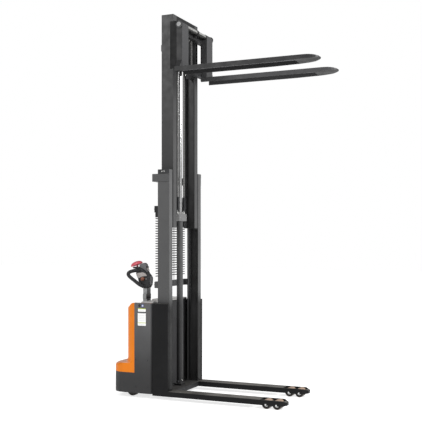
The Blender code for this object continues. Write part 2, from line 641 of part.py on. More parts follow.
def build_inner_mast():
    add_frame("inner_mast", "root", (CYLINDER_X, 0, INNER_BOTTOM))
    for name, side in SIDES:
        upright = prism(f"inner_upright_{name}", channel(side, INNER_HALF, INNER_LIP), "Z",
                        INNER_BOTTOM, INNER_TOP, "charcoal_paint", "inner_mast")
        low, high = mirrored(side, INNER_HALF - FLANGE / 2, 0.324)
        stub = cylinder(f"mast_stub_{name}", "Y", (ROLLER_X, MAST_ROLLER_Z), STUB_R, low, high,
                        None, "inner_mast", 16)
        combine(upright, stub, "UNION")
        roller = f"mast_roller_{name}"
        add_frame(roller, "inner_mast", (ROLLER_X, side * 0.30, MAST_ROLLER_Z))
        add_roller(roller, mirrored(side, 0.280, 0.324), MAST_ROLLER_Z)

    beam = (BEAM_REAR, MAST_REAR)
    across = (-BEAM_HALF, BEAM_HALF)
    box("inner_bottom_tie", beam, across, (1.575, 1.635), "charcoal_paint", "inner_mast")
    tongue = 0.0275
    crosshead = [(beam[0], across[0]), (beam[1], across[0]), (beam[1], -tongue),
                 (-0.040, -tongue), (-0.040, tongue), (beam[1], tongue), (beam[1], across[1]),
                 (beam[0], across[1])]
    prism("rod_crosshead", crosshead, "Z", 3.190, 3.250, "charcoal_paint", "inner_mast")
    top = box("inner_top_crossmember", (-0.118, -0.002), (-INNER_LIP + GAP, INNER_LIP - GAP),
              (3.465, INNER_TOP), "charcoal_paint", "inner_mast")
    rod = cylinder("piston_rod", "Z", (CYLINDER_X, 0), ROD_R, 1.600, 3.1895, "chrome",
                   "inner_mast", 28)
    piston = cylinder("piston", "Z", (CYLINDER_X, 0), TUBE_BORE - GAP, 1.575, 1.601, None,
                      "inner_mast", 28)
    combine(rod, piston, "UNION")

    wall = (0.0805, 0.0865)
    hanger = [(-wall[1], 3.335), (-wall[0], 3.335), (-wall[0], 3.452), (wall[0], 3.452),
              (wall[0], 3.335), (wall[1], 3.335), (wall[1], 3.467), (-wall[1], 3.467)]
    bracket = prism("sheave_hanger", hanger, "X", SHEAVE_X - 0.016, SHEAVE_X + 0.016, None,
                    "inner_mast")
    combine(top, bracket, "UNION")
    axle = cylinder("sheave_axle", "Y", (SHEAVE_X, SHEAVE_Z), 0.0080, -0.089, 0.089, None,
                    "inner_mast", 16)
    combine(top, axle, "UNION")
    for name, side in SIDES:
        body = f"chain_sheave_{name}"
        add_frame(body, "inner_mast", (SHEAVE_X, side * CHAIN_Y, SHEAVE_Z))
        groove, rim = CHAIN_W / 2 + GAP, CHAIN_W / 2 + 0.0025
        at = side * CHAIN_Y
        profile = [(0.0086, at - rim), (0.041, at - rim), (0.041, at - groove),
                   (SHEAVE_R, at - groove), (SHEAVE_R, at + groove), (0.041, at + groove),
                   (0.041, at + rim), (0.0086, at + rim)]
        turned(body, "Y", (SHEAVE_X, SHEAVE_Z), profile, "steel", body, 24)


def add_roller(body, across, z):
    inner = STUB_R + GAP
    rim = ROLLER_R - 0.003
    low, high = across
    profile = [(inner, low), (rim, low), (ROLLER_R, low + 0.003), (ROLLER_R, high - 0.003),
               (rim, high), (inner, high)]
    turned(body, "Y", (ROLLER_X, z), profile, "steel", body, 20)


def build_chains():
    """Each chain: up behind its sheave, over it, and down in front to the carriage."""
    for name, side in SIDES:
        outer = circle(SHEAVE_X, SHEAVE_Z, CHAIN_OUT, 13, 0, math.pi)
        inner = circle(SHEAVE_X, SHEAVE_Z, CHAIN_IN, 13, math.pi, -math.pi)
        outline = [(SHEAVE_X + CHAIN_OUT, LOWER_BEAM[1] + GAP), *outer,
                   (SHEAVE_X - CHAIN_OUT, CHAIN_BOTTOM), (SHEAVE_X - CHAIN_IN, CHAIN_BOTTOM),
                   *inner, (SHEAVE_X + CHAIN_IN, LOWER_BEAM[1] + GAP)]
        across = (side * CHAIN_Y - CHAIN_W / 2, side * CHAIN_Y + CHAIN_W / 2)
        smooth(prism(f"lift_chain_{name}", outline, "Y", *across, "chain_steel", "inner_mast"))


# ---- carriage and forks ----
def build_carriage():
    add_frame("carriage", "inner_mast", (0, 0, FORK_TOP))
    reach = (0.012, SHANK_REAR - GAP)
    frame = box("carriage_frame", reach, (-SHANK_OUT, SHANK_OUT), LOWER_BEAM, "charcoal_paint",
                "carriage")
    notch_y, notch_x = 0.090, 0.035
    outline = [(reach[0], -SHANK_OUT), (reach[1], -SHANK_OUT), (reach[1], SHANK_OUT),
               (reach[0], SHANK_OUT), (reach[0], notch_y), (notch_x, notch_y),
               (notch_x, -notch_y), (reach[0], -notch_y)]
    beam = prism("carriage_upper_beam", outline, "Z", 3.335, 3.385, None, "carriage")
    tools = [(beam, "UNION")]
    for name, side in SIDES:
        plate = box(f"carriage_plate_{name}", (-0.083, reach[0] + 0.004),
                    mirrored(side, PLATE_IN, PLATE_OUT), (3.000, 3.395), None, "carriage")
        tools.append((plate, "UNION"))
        cheek = box(f"carriage_cheek_{name}", (0.004, reach[1]),
                    mirrored(side, SHANK_OUT - 0.012, SHANK_OUT), (2.998, 3.425), None,
                    "carriage")
        tools.append((cheek, "UNION"))
        for number, z in enumerate(CARRIAGE_ROLLER_Z, start=1):
            low, high = mirrored(side, PLATE_OUT - 0.006, 0.247)
            stub = cylinder(f"carriage_stub_{name}_{number}", "Y", (ROLLER_X, z), STUB_R, low,
                            high, None, "carriage", 16)
            tools.append((stub, "UNION"))
            roller = f"carriage_roller_{name}_{number}"
            add_frame(roller, "carriage", (ROLLER_X, side * 0.22, z))
            add_roller(roller, mirrored(side, 0.200, 0.246), z)
    lug_y = (0.010, 0.030)
    lug = cylinder("lug_boss", "Y", (SHAFT_X, SHAFT_Z), SHANK_BOSS_R, *lug_y, None, "carriage",
                   24)
    web = box("lug_web", (reach[1] - 0.010, SHAFT_X), lug_y, (3.350, SHAFT_Z), None, "carriage")
    bore = cylinder("lug_bore", "Y", (SHAFT_X, SHAFT_Z), SHAFT_R + GAP, -0.1, 0.1, None,
                    "carriage", 24)
    tools += [(lug, "UNION"), (web, "UNION"), (bore, "DIFFERENCE")]
    for tool, operation in tools:
        combine(frame, tool, operation)
    cylinder("fork_shaft", "Y", (SHAFT_X, SHAFT_Z), SHAFT_R, -0.347, 0.347, "chrome",
             "carriage", 24)


def build_forks():
    for name, side in SIDES:
        nose = 0.145
        profile = [(SHANK_REAR, FORK_TOP - FORK_DROP), (0.95, FORK_TOP - FORK_DROP),
                   (1.20, FORK_TOP - 0.038), (1.33, FORK_TOP - 0.031),
                   (FORK_TIP - 0.010, FORK_TOP - 0.022), (FORK_TIP, FORK_TOP - 0.016),
                   (FORK_TIP - 0.006, FORK_TOP - 0.010), (FORK_TIP - 0.040, FORK_TOP - 0.003),
                   (FORK_TIP - 0.080, FORK_TOP), (SHANK_REAR, FORK_TOP)]
        across = mirrored(side, FORK_IN, FORK_OUT)
        fork = prism(f"fork_{name}", profile, "Y", *across, "charcoal_paint", "carriage")
        middle = side * (FORK_IN + FORK_OUT) / 2
        half = (FORK_OUT - FORK_IN) / 2
        plan = [(0.0, middle - half), (FORK_TIP - nose, middle - half)]
        last = math.pi * 0.46
        plan += [(FORK_TIP - nose + nose * math.sin(a) / math.sin(last),
                  middle - half * math.cos(a) ** 0.9) for a in (last * k / 6 for k in range(1, 7))]
        plan += [(x, 2 * middle - y) for x, y in reversed(plan)]
        tip = prism(f"fork_plan_{name}", plan, "Z", 2.9, 3.1, None, "carriage")
        combine(fork, tip, "INTERSECT")
        under = box(f"fork_hollow_{name}", (0.05, 1.190),
                    (across[0] + FORK_SKIN, across[1] - FORK_SKIN),
                    (2.9, FORK_TOP - FORK_SKIN + 0.001), None, "carriage")
        combine(fork, under, "DIFFERENCE")

        outline = [(SHANK_REAR, FORK_TOP - 0.004), (SHANK_FRONT, FORK_TOP - 0.004)]
        outline += circle(SHAFT_X, SHAFT_Z, SHANK_BOSS_R, 11, 0, math.pi)
        shank = prism(f"shank_{name}", outline, "Y", *mirrored(side, SHANK_IN, SHANK_OUT), None,
                      "carriage")
        combine(fork, shank, "UNION")
        low, high = across
        wide = mirrored(side, SHANK_IN, SHANK_OUT)
        foot = [(low + 0.004, FORK_TOP - 0.004), (high - 0.004, FORK_TOP - 0.004),
                (wide[1] - 0.004, 3.075), (wide[0] + 0.004, 3.075)]
        gusset = prism(f"gusset_{name}", foot, "X", SHANK_REAR + 0.004, SHANK_FRONT - 0.004,
                       None, "carriage")
        combine(fork, gusset, "UNION")
        bore = cylinder(f"shank_bore_{name}", "Y", (SHAFT_X, SHAFT_Z), SHAFT_R + GAP, -0.5, 0.5,
                        None, "carriage", 24)
        combine(fork, bore, "DIFFERENCE")


# ---- tiller ----
def build_tiller():
    add_frame("tiller", "drive_unit", (DRIVE_X, 0, TILT_Z))
    outline = [(DRIVE_X + ARM_X, 0.9845), (DRIVE_X - ARM_X, 0.9845)]
    outline += circle(DRIVE_X, TILT_Z, ARM_X, 11, math.pi, math.pi)
    arm = smooth(prism("tiller_arm", outline, "Y", -ARM_Y, ARM_Y, "charcoal_paint", "tiller"))
    bore = cylinder("arm_bore", "Y", (DRIVE_X, TILT_Z), 0.0085, -0.1, 0.1, None, "tiller", 16)
    combine(arm, bore, "DIFFERENCE")

    profile = [(-0.446, 0.985), (-0.392, 0.985), (-0.373, 1.020), (-0.369, 1.085),
               (-0.385, 1.130), (-0.420, 1.200), (-0.434, 1.232), (-0.456, 1.236),
               (-0.478, 1.190), (-0.553, 1.190), (-0.561, 1.176), (-0.553, 1.162),
               (-0.500, 1.154), (-0.489, 1.120), (-0.486, 1.060), (-0.472, 1.015)]
    head = prism("tiller_head", profile, "Y", -HEAD_HALF, HEAD_HALF, "black_plastic", "tiller")
    throttle_x, throttle_z = -0.432, 1.075
    bore = cylinder("throttle_bore", "Y", (throttle_x, throttle_z), 0.0065, -0.1, 0.1, None,
                    "tiller", 12)
    combine(head, bore, "DIFFERENCE")

    for name, side in SIDES:
        path = [(-0.507, 0.040, 1.174), (-0.507, 0.062, 1.176), (-0.541, 0.098, 1.178),
                (-0.560, 0.120, 1.145), (-0.552, 0.113, 1.095), (-0.500, 0.085, 1.040),
                (-0.448, 0.062, 1.013), (-0.440, 0.036, 1.006)]
        loop = tube(f"handle_loop_{name}", [(x, side * y, z) for x, y, z in path], 0.013,
                    "black_plastic", "tiller")
        trim = box(f"loop_trim_{name}", (-0.6, -0.4), (-HEAD_HALF - GAP, HEAD_HALF + GAP),
                   (0.9, 1.3), None, "tiller")
        combine(loop, trim, "DIFFERENCE")

    add_frame("throttle", "tiller", (throttle_x, 0, throttle_z))
    throttle = cylinder("throttle", "Y", (throttle_x, throttle_z), 0.0060, -0.048, 0.048,
                        "light_grey", "throttle", 12)
    for name, side in SIDES:
        outline = circle(throttle_x, throttle_z, 0.017, 12, math.radians(60), math.radians(240))
        outline.append((throttle_x + 0.004, throttle_z - 0.019))
        outline.append((throttle_x + 0.018, throttle_z + 0.004))
        thumb = prism(f"throttle_thumb_{name}", outline, "Y", *mirrored(side, 0.046, 0.066),
                      None, "throttle")
        combine(throttle, thumb, "UNION")

    add_frame("belly_button", "tiller", (-0.520, 0, 1.19))
    dome = prism("belly_button", circle(-0.520, 0, 0.0095, 16), "Z", 1.178, 1.205,
                 "red_plastic", "belly_button")
    layers = ((1.1960, 1.0), (1.215, 1.0), (1.230, 0.88), (1.240, 0.62), (1.244, 0.30))
    shape = bmesh.new()
    rings = []
    for z, scale in layers:
        rings.append([shape.verts.new((-0.520 + 0.038 * scale * math.cos(a),
                                       0.043 * scale * math.sin(a), z))
                      for a in (math.tau * i / 24 for i in range(24))])
    for here, there in zip(rings, rings[1:]):
        for i in range(24):
            j = (i + 1) % 24
            shape.faces.new((here[i], here[j], there[j], there[i]))
    shape.faces.new(rings[0])
    shape.faces.new(rings[-1])
    cap = add_object("belly_cap", shape, None, "belly_button")
    combine(dome, cap, "UNION")
    smooth(dome)
    pocket = cylinder("belly_pocket", "Z", (-0.520, 0), 0.0105, 1.170, 1.3, None, "tiller", 16)
    combine(head, pocket, "DIFFERENCE")

    # the rocker's profile lies along the sloping face; u runs up the slope, w out of it
    face = Vector((-0.4025, 0, 1.165))
    up_slope = Vector((-0.035, 0, 0.070)).normalized()
    outward = Vector((0.070, 0, 0.035)).normalized()

    def on_slope(points):
        placed = (face + up_slope * u + outward * w for u, w in points)
        return [(point.x, point.z) for point in placed]

    add_frame("lift_rocker", "tiller", face)
    rocker = [(-0.014, -0.001), (0, -0.004), (0.014, -0.001), (0.014, 0.007), (0, 0.004),
              (-0.014, 0.007)]
    prism("lift_rocker", on_slope(rocker), "Y", -0.011, 0.011, "light_grey", "lift_rocker")
    pocket = [(-0.016, -0.008), (0.016, -0.008), (0.016, 0.020), (-0.016, 0.020)]
    well = prism("rocker_pocket", on_slope(pocket), "Y", -0.012, 0.012, None, "tiller")
    combine(head, well, "DIFFERENCE")


def main():
    for old in list(bpy.data.objects):
        bpy.data.objects.remove(old, do_unlink=True)
    add_frame("machine", None, (0, 0, 0))
    frames["machine"][0].location.x = ROW_SHIFT
    add_frame("root", "machine", (0, 0, 0))
    build_chassis()
    build_legs()
    build_covers()
    build_internals()
    build_drive_unit()
    build_casters()
    build_outer_mast()
    build_guard()
    build_cylinder()
    build_inner_mast()
    build_carriage()
    build_chains()
    build_forks()
    build_tiller()


main()
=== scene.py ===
"""Looks of a pedestrian stacker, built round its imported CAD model.

Lengths along X are given from the mast's front face, across from the centre line, up from the floor.
"""

import math

import bmesh
import bpy
from mathutils import Matrix, Vector


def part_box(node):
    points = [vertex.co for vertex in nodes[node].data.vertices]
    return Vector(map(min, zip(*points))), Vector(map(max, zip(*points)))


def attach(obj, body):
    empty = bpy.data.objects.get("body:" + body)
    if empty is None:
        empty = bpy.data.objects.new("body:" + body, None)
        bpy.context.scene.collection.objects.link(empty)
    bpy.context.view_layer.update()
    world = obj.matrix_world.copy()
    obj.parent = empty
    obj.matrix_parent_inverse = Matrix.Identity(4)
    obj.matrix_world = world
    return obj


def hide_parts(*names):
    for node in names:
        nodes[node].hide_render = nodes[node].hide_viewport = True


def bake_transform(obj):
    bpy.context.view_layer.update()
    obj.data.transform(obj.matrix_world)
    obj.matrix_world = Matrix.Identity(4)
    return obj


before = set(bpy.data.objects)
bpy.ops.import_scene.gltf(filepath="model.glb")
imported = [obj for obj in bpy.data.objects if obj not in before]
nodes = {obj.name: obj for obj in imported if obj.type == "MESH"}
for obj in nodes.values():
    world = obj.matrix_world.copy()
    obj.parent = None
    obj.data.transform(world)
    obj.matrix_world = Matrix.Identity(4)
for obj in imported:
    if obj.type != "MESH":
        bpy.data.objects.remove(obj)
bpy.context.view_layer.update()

MAST_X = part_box("outer_upright_left")[1].x      # front face of the mast
SIDES = (("left", -1), ("right", 1))
CHAIN_Y, CHAIN_HALF = 0.068, 0.009              # each chain's place and half width
CHAIN_X, SHEAVE_X = -0.0545, -0.0145            # its back run and the sheave above it
ROD_X = -0.063                                  # lift cylinder and rod
SHAFT_X, SHAFT_Z = 0.098, 3.390                 # cross shaft of the carriage
PANEL_Y = 0.3700                                # outer face of the side panels
CONSOLE_X, CONSOLE_TOP = -0.225, 0.8985         # row of controls on the console
REAR_X = -0.4570                                # upright back face of the rear cover
CASTER_X, CASTER_Y = -0.385, 0.262              # swivel axes of the castors
# HOLLOW_Z: above it the forks' down-facing faces get painted light, below it painted shade
HOLLOW_Z = 2.994                                # just below the ceiling of the hollow forks


def both(*stems):
    """Names of the left and right node of each kind."""
    return [f"{stem}_{name}" for stem in stems for name, _ in SIDES]


ROLLERS = both("mast_roller") + [f"carriage_roller_{name}_{k}" for name, _ in SIDES for k in (1, 2)]


def from_mast(points):
    """Outline points measured from the mast's front face, in the frame's own X."""
    return [(MAST_X + x, z) for x, z in points]


def at(x, y, z):
    """A point measured from the front face of the mast, the centre line and the floor."""
    return Vector((MAST_X + x, y, z))


# ---- camera, floor and light ----
def build_studio():
    camera = bpy.data.objects.new("camera", bpy.data.cameras.new("camera"))
    bpy.context.scene.collection.objects.link(camera)
    camera.location = at(3.388, -6.996, 1.457)
    camera.rotation_euler = (math.pi / 2, 0, math.radians(24.09))
    camera.data.lens = 70.38
    camera.data.shift_y = 0.0664
    camera.data.clip_end = 200
    bpy.context.scene.camera = camera
    bpy.context.scene.view_settings.view_transform = "Standard"

    world = bpy.data.worlds.new("studio")
    bpy.context.scene.world = world
    world.use_nodes = True
    tree = world.node_tree
    fill = tree.nodes["Background"]
    fill.inputs["Color"].default_value = (1, 1, 1, 1)
    fill.inputs["Strength"].default_value = 0.50
    backdrop = tree.nodes.new("ShaderNodeBackground")
    backdrop.inputs["Color"].default_value = (1, 1, 1, 1)
    seen = tree.nodes.new("ShaderNodeLightPath")
    blend = tree.nodes.new("ShaderNodeMixShader")
    tree.links.new(seen.outputs["Is Camera Ray"], blend.inputs["Fac"])
    tree.links.new(fill.outputs["Background"], blend.inputs[1])
    tree.links.new(backdrop.outputs["Background"], blend.inputs[2])
    tree.links.new(blend.outputs["Shader"], tree.nodes["World Output"].inputs["Surface"])

    mesh = bpy.data.meshes.new("floor")
    mesh.from_pydata([(-30, -30, 0), (30, -30, 0), (30, 30, 0), (-30, 30, 0)], [], [(0, 1, 2, 3)])
    floor = bpy.data.objects.new("floor", mesh)
    bpy.context.scene.collection.objects.link(floor)
    pale, tree, shader = new_material("pale_floor")
    shader.inputs["Base Color"].default_value = (0.60, 0.60, 0.60, 1)
    shader.inputs["Roughness"].default_value = 0.9
    shader.inputs["Specular IOR Level"].default_value = 0.1
    shader.inputs["Emission Color"].default_value = (1, 1, 1, 1)
    shader.inputs["Emission Strength"].default_value = 0.74
    mesh.materials.append(pale)

    lamps = (("front_softbox", (6.0, -0.6, 4.6), 2.4, 420, (0, 0, 2.2)),
             ("side_softbox", (-2.5, -6.0, 5.0), 2.4, 170, (0, 0, 2.0)))
    for name, place, size, power, target in lamps:
        data = bpy.data.lights.new(name, "AREA")
        data.shape, data.size, data.energy = "DISK", size, power
        lamp = bpy.data.objects.new(name, data)
        bpy.context.scene.collection.objects.link(lamp)
        lamp.location = place
        lamp.rotation_euler = (Vector(target) - Vector(place)).to_track_quat("-Z", "Y").to_euler()


# ---- materials ----
def new_material(name):
    made = bpy.data.materials.new(name)
    made.use_nodes = True
    return made, made.node_tree, made.node_tree.nodes["Principled BSDF"]


def axes(tree, source="Object"):
    """X, Y and Z outputs of a texture coordinate, or of the surface's normal."""
    kind = "ShaderNodeNewGeometry" if source == "Normal" else "ShaderNodeTexCoord"
    split = tree.nodes.new("ShaderNodeSeparateXYZ")
    tree.links.new(tree.nodes.new(kind).outputs[source], split.inputs["Vector"])
    return split.outputs


def noise(tree, scale, detail=3.0, stretch=(1, 1, 1)):
    """Noise in the object's own metres; stretch lengthens the grain along an axis."""
    coord = tree.nodes.new("ShaderNodeTexCoord")
    mapping = tree.nodes.new("ShaderNodeMapping")
    mapping.inputs["Scale"].default_value = [scale / s for s in stretch]
    texture = tree.nodes.new("ShaderNodeTexNoise")
    texture.inputs["Scale"].default_value = 1.0
    texture.inputs["Detail"].default_value = detail
    tree.links.new(coord.outputs["Object"], mapping.inputs["Vector"])
    tree.links.new(mapping.outputs["Vector"], texture.inputs["Vector"])
    return texture.outputs["Fac"]


def remap(tree, value, low, high, to_low, to_high):
    node = tree.nodes.new("ShaderNodeMapRange")
    node.interpolation_type = "SMOOTHSTEP"
    tree.links.new(value, node.inputs["Value"])
    for key, number in (("From Min", low), ("From Max", high), ("To Min", to_low),
                        ("To Max", to_high)):
        node.inputs[key].default_value = number
    return node.outputs["Result"]


def arithmetic(tree, operation, one, two=None):
    node = tree.nodes.new("ShaderNodeMath")
    node.operation = operation
    for slot, value in zip(node.inputs, (one, two)):
        if value is None:
            continue
        if isinstance(value, (int, float)):
            slot.default_value = value
        else:
            tree.links.new(value, slot)
    return node.outputs["Value"]


def mix(tree, factor, one, two):
    """Mixes two colours, each a socket or an (r, g, b)."""
    node = tree.nodes.new("ShaderNodeMix")
    node.data_type = "RGBA"
    tree.links.new(factor, node.inputs["Factor"])
    for slot, value in ((node.inputs["A"], one), (node.inputs["B"], two)):
        if isinstance(value, tuple):
            slot.default_value = (*value, 1)
        else:
            tree.links.new(value, slot)
    return node.outputs["Result"]


def bump(tree, shader, height, distance):
    node = tree.nodes.new("ShaderNodeBump")
    node.inputs["Strength"].default_value = 1.0
    node.inputs["Distance"].default_value = distance
    tree.links.new(height, node.inputs["Height"])
    tree.links.new(node.outputs["Normal"], shader.inputs["Normal"])


def scaled(colour, factor):
    return tuple(min(1.0, c * factor) for c in colour)


def edge_mask(tree, radius=0.003):
    """1 along sharp edges, where paint rubs thin."""
    rounded = tree.nodes.new("ShaderNodeBevel")
    rounded.samples = 4
    rounded.inputs["Radius"].default_value = radius
    geometry = tree.nodes.new("ShaderNodeNewGeometry")
    dot = tree.nodes.new("ShaderNodeVectorMath")
    dot.operation = "DOT_PRODUCT"
    tree.links.new(rounded.outputs["Normal"], dot.inputs[0])
    tree.links.new(geometry.outputs["Normal"], dot.inputs[1])
    return remap(tree, dot.outputs["Value"], 0.97, 0.80, 0.0, 1.0)


def upward(tree):
    """1 on faces that look up: where dust settles, and where moulded plastic gets a painted
    highlight.
    """
    return remap(tree, axes(tree, "Normal")["Z"], 0.6, 0.95, 0.0, 1.0)


def sideways(tree, low, high):
    """1 on faces turned away from the machine's centre line, or towards it for negative limits."""
    side = arithmetic(tree, "SIGN", axes(tree)["Y"])
    turned = arithmetic(tree, "MULTIPLY", axes(tree, "Normal")["Y"], side)
    return remap(tree, turned, low, high, 0, 1)


def painted(name, colour, roughness, specular=0.5, wear=0.35, dust=0.12, peel=0.00012,
            fade=None, inside=None, outside=None, front=None, under=None):
    """Powder coat: orange peel, cloudy gloss, thin pale edges and a little dust.

    fade is (from height, to height, share of the colour left at the foot): painted shade
    that darkens the colour and its specular level towards the foot. inside, outside and front are
    the shares left on the faces that look towards the machine's centre line, away from it, and
    forwards. under is (height, share below it, share above it) for what looks down. These shares
    paint light and shade by the way a face is turned.
    """
    made, tree, shader = new_material(name)
    cloud = remap(tree, noise(tree, 5.0, 5.0), 0.3, 0.7, 0.0, 1.0)
    base = mix(tree, cloud, scaled(colour, 0.90), scaled(colour, 1.10))
    # painted shade: the colour and its specular level darken towards the foot
    if fade:
        low = remap(tree, axes(tree)["Z"], fade[0], fade[1], 1.0, 0.0)
        base = mix(tree, low, base, scaled(colour, fade[2]))
        sheen = remap(tree, low, 0.0, 1.0, specular, specular * max(fade[2], 0.15))
        tree.links.new(sheen, shader.inputs["Specular IOR Level"])
    # painted light and shade: faces turned inwards, outwards, forwards or down keep their own share
    # of the colour
    if inside is not None:
        deep = scaled(colour, inside)
        if fade:
            deep = mix(tree, low, deep, scaled(colour, 0.55))
        base = mix(tree, sideways(tree, -0.5, -0.8), base, deep)
    if outside is not None:
        base = mix(tree, sideways(tree, 0.5, 0.8), base, scaled(colour, outside))
    if front is not None:
        ahead = remap(tree, axes(tree, "Normal")["X"], 0.5, 0.8, 0.0, 1.0)
        base = mix(tree, ahead, base, scaled(colour, front))
    if under:
        down = remap(tree, axes(tree, "Normal")["Z"], -0.7, -0.5, 1.0, 0.0)
        high = remap(tree, axes(tree)["Z"], under[0], under[0] + 0.002, 0.0, 1.0)
        base = mix(tree, down, base, mix(tree, high, scaled(colour, under[1]),
                                         scaled(colour, under[2])))
    speck = remap(tree, noise(tree, 420.0, 2.0), 0.62, 0.78, 0.0, 0.25)
    base = mix(tree, speck, base, scaled(colour, 1.6))
    scratch = noise(tree, 60.0, 4.0, stretch=(1, 1, 12))
    rub = arithmetic(tree, "MULTIPLY", edge_mask(tree), remap(tree, scratch, 0.4, 0.65, 0.2, 1.0))
    rub = arithmetic(tree, "MULTIPLY", rub, wear)
    base = mix(tree, rub, base, scaled(colour, 2.2 if max(colour) < 0.3 else 1.15))
    settle = arithmetic(tree, "MULTIPLY", upward(tree), remap(tree, cloud, 0, 1, 0.5, 1.0))
    settle = arithmetic(tree, "MULTIPLY", settle, dust)
    base = mix(tree, settle, base, (0.42, 0.40, 0.37))
    tree.links.new(base, shader.inputs["Base Color"])
    gloss = remap(tree, noise(tree, 16.0, 6.0), 0.3, 0.7, roughness - 0.06, roughness + 0.08)
    tree.links.new(gloss, shader.inputs["Roughness"])
    if not fade:
        shader.inputs["Specular IOR Level"].default_value = specular
    bump(tree, shader, noise(tree, 260.0, 2.0), peel)
    return made


def moulded(name, colour, roughness, depth=0.00015, specular=0.5, sheen=1.25, top_highlight=None):
    """Moulded plastic with an eroded grain and faint flow marks; top_highlight paints a highlight on
    what looks up.
    """
    made, tree, shader = new_material(name)
    flow = remap(tree, noise(tree, 9.0, 4.0, stretch=(1, 1, 2.5)), 0.3, 0.7, 0.0, 1.0)
    base = mix(tree, flow, scaled(colour, 0.92), scaled(colour, 1.07))
    rub = arithmetic(tree, "MULTIPLY", edge_mask(tree, 0.002), 0.35)
    base = mix(tree, rub, base, scaled(colour, sheen))
    # painted highlight: faces that look up are paled towards the given colour
    if top_highlight:
        faint = arithmetic(tree, "MULTIPLY", upward(tree), 0.55)
        base = mix(tree, faint, base, top_highlight)
    tree.links.new(base, shader.inputs["Base Color"])
    gloss = remap(tree, noise(tree, 30.0, 5.0), 0.3, 0.7, roughness - 0.05, roughness + 0.08)
    tree.links.new(gloss, shader.inputs["Roughness"])
    shader.inputs["Specular IOR Level"].default_value = specular
    bump(tree, shader, noise(tree, 900.0, 2.0), depth)
    return made


def metal(name, colour, roughness, stretch=(1, 1, 14), depth=0.00004, stain=0.25,
          underside_shade=None):
    """Machined or ground steel with a directional grain and darker oil stains.

    underside_shade is the share of the colour left on the underside, as painted shade.
    """
    made, tree, shader = new_material(name)
    grain = noise(tree, 500.0, 3.0, stretch=stretch)
    oil = remap(tree, noise(tree, 14.0, 5.0), 0.45, 0.75, 0.0, stain)
    base = mix(tree, grain, scaled(colour, 0.88), scaled(colour, 1.08))
    base = mix(tree, oil, base, scaled(colour, 0.45))
    # painted shade: faces that look down are darkened
    if underside_shade is not None:
        below = remap(tree, axes(tree, "Normal")["Z"], 0.0, -0.30, 0.0, 1.0)
        base = mix(tree, below, base, scaled(colour, underside_shade))
    tree.links.new(base, shader.inputs["Base Color"])
    shader.inputs["Metallic"].default_value = 1.0
    tree.links.new(remap(tree, grain, 0.3, 0.7, roughness - 0.05, roughness + 0.1),
                   shader.inputs["Roughness"])
    bump(tree, shader, grain, depth)
    return made


def tread(name, colour, roughness):
    """Cast polyurethane or rubber: scuffed, with embedded grit, and painted shade on faces that don't
    look up.
    """
    made, tree, shader = new_material(name)
    scuff = remap(tree, noise(tree, 45.0, 6.0, stretch=(1, 4, 1)), 0.35, 0.7, 0.0, 1.0)
    grit = remap(tree, noise(tree, 300.0, 1.0), 0.66, 0.74, 0.0, 0.8)
    base = mix(tree, scuff, scaled(colour, 0.75), scaled(colour, 1.15))
    base = mix(tree, grit, base, (0.05, 0.045, 0.04))
    # painted shade: faces that do not look up are darkened to near black
    shaded_sides = remap(tree, axes(tree, "Normal")["Z"], 0.75, 0.35, 0.0, 0.88)
    base = mix(tree, shaded_sides, base, (0.020, 0.018, 0.016))
    tree.links.new(base, shader.inputs["Base Color"])
    tree.links.new(remap(tree, scuff, 0, 1, roughness, roughness + 0.25),
                   shader.inputs["Roughness"])
    bump(tree, shader, noise(tree, 120.0, 4.0), 0.0003)
    return made


def two_tone_arm(name):
    """The arm's pale side plates, and its darker front and rear with a black strip."""
    made, tree, shader = new_material(name)
    turned = arithmetic(tree, "ABSOLUTE", axes(tree, "Normal")["Y"])
    side = remap(tree, turned, 0.6, 0.8, 0.0, 1.0)
    cloud = remap(tree, noise(tree, 30.0, 5.0), 0.3, 0.7, 0.0, 1.0)
    off = arithmetic(tree, "ABSOLUTE", arithmetic(tree, "ADD", axes(tree)["Y"], 0.018))
    pale = mix(tree, cloud, (0.25, 0.258, 0.262), (0.32, 0.328, 0.332))
    dark = mix(tree, remap(tree, off, 0.007, 0.011, 0.0, 1.0), (0.014, 0.014, 0.016),
               (0.090, 0.090, 0.094))
    tree.links.new(mix(tree, side, dark, pale), shader.inputs["Base Color"])
    tree.links.new(remap(tree, cloud, 0, 1, 0.36, 0.5), shader.inputs["Roughness"])
    bump(tree, shader, noise(tree, 420.0, 2.0), 0.0001)
    return made


def chain_links(name):
    """Leaf chain: pin heads at every pitch, with oily gaps between links and leaves."""
    made, tree, shader = new_material(name)
    pitch, leaf_width = 0.0159, 0.0024
    point = axes(tree)
    phase = arithmetic(tree, "FRACT", arithmetic(tree, "DIVIDE", point["Z"], pitch))
    centred = arithmetic(tree, "ABSOLUTE", arithmetic(tree, "SUBTRACT", phase, 0.5))
    pin = remap(tree, centred, 0.14, 0.20, 1.0, 0.0)
    gap = remap(tree, centred, 0.44, 0.48, 0.0, 1.0)
    leaf = arithmetic(tree, "FRACT", arithmetic(tree, "DIVIDE", point["Y"], leaf_width))
    slit = remap(tree, arithmetic(tree, "ABSOLUTE", arithmetic(tree, "SUBTRACT", leaf, 0.5)),
                 0.36, 0.44, 0.0, 1.0)
    dirt = arithmetic(tree, "MAXIMUM", gap, slit)
    base = mix(tree, pin, (0.17, 0.168, 0.165), (0.30, 0.296, 0.29))
    base = mix(tree, dirt, base, (0.02, 0.019, 0.018))
    tree.links.new(base, shader.inputs["Base Color"])
    shader.inputs["Metallic"].default_value = 0.35
    tree.links.new(remap(tree, dirt, 0, 1, 0.38, 0.7), shader.inputs["Roughness"])
    bump(tree, shader, arithmetic(tree, "SUBTRACT", pin, dirt), 0.0008)
    return made


def within(tree, value, low, high):
    above = arithmetic(tree, "GREATER_THAN", value, low)
    return arithmetic(tree, "MULTIPLY", above, arithmetic(tree, "LESS_THAN", value, high))


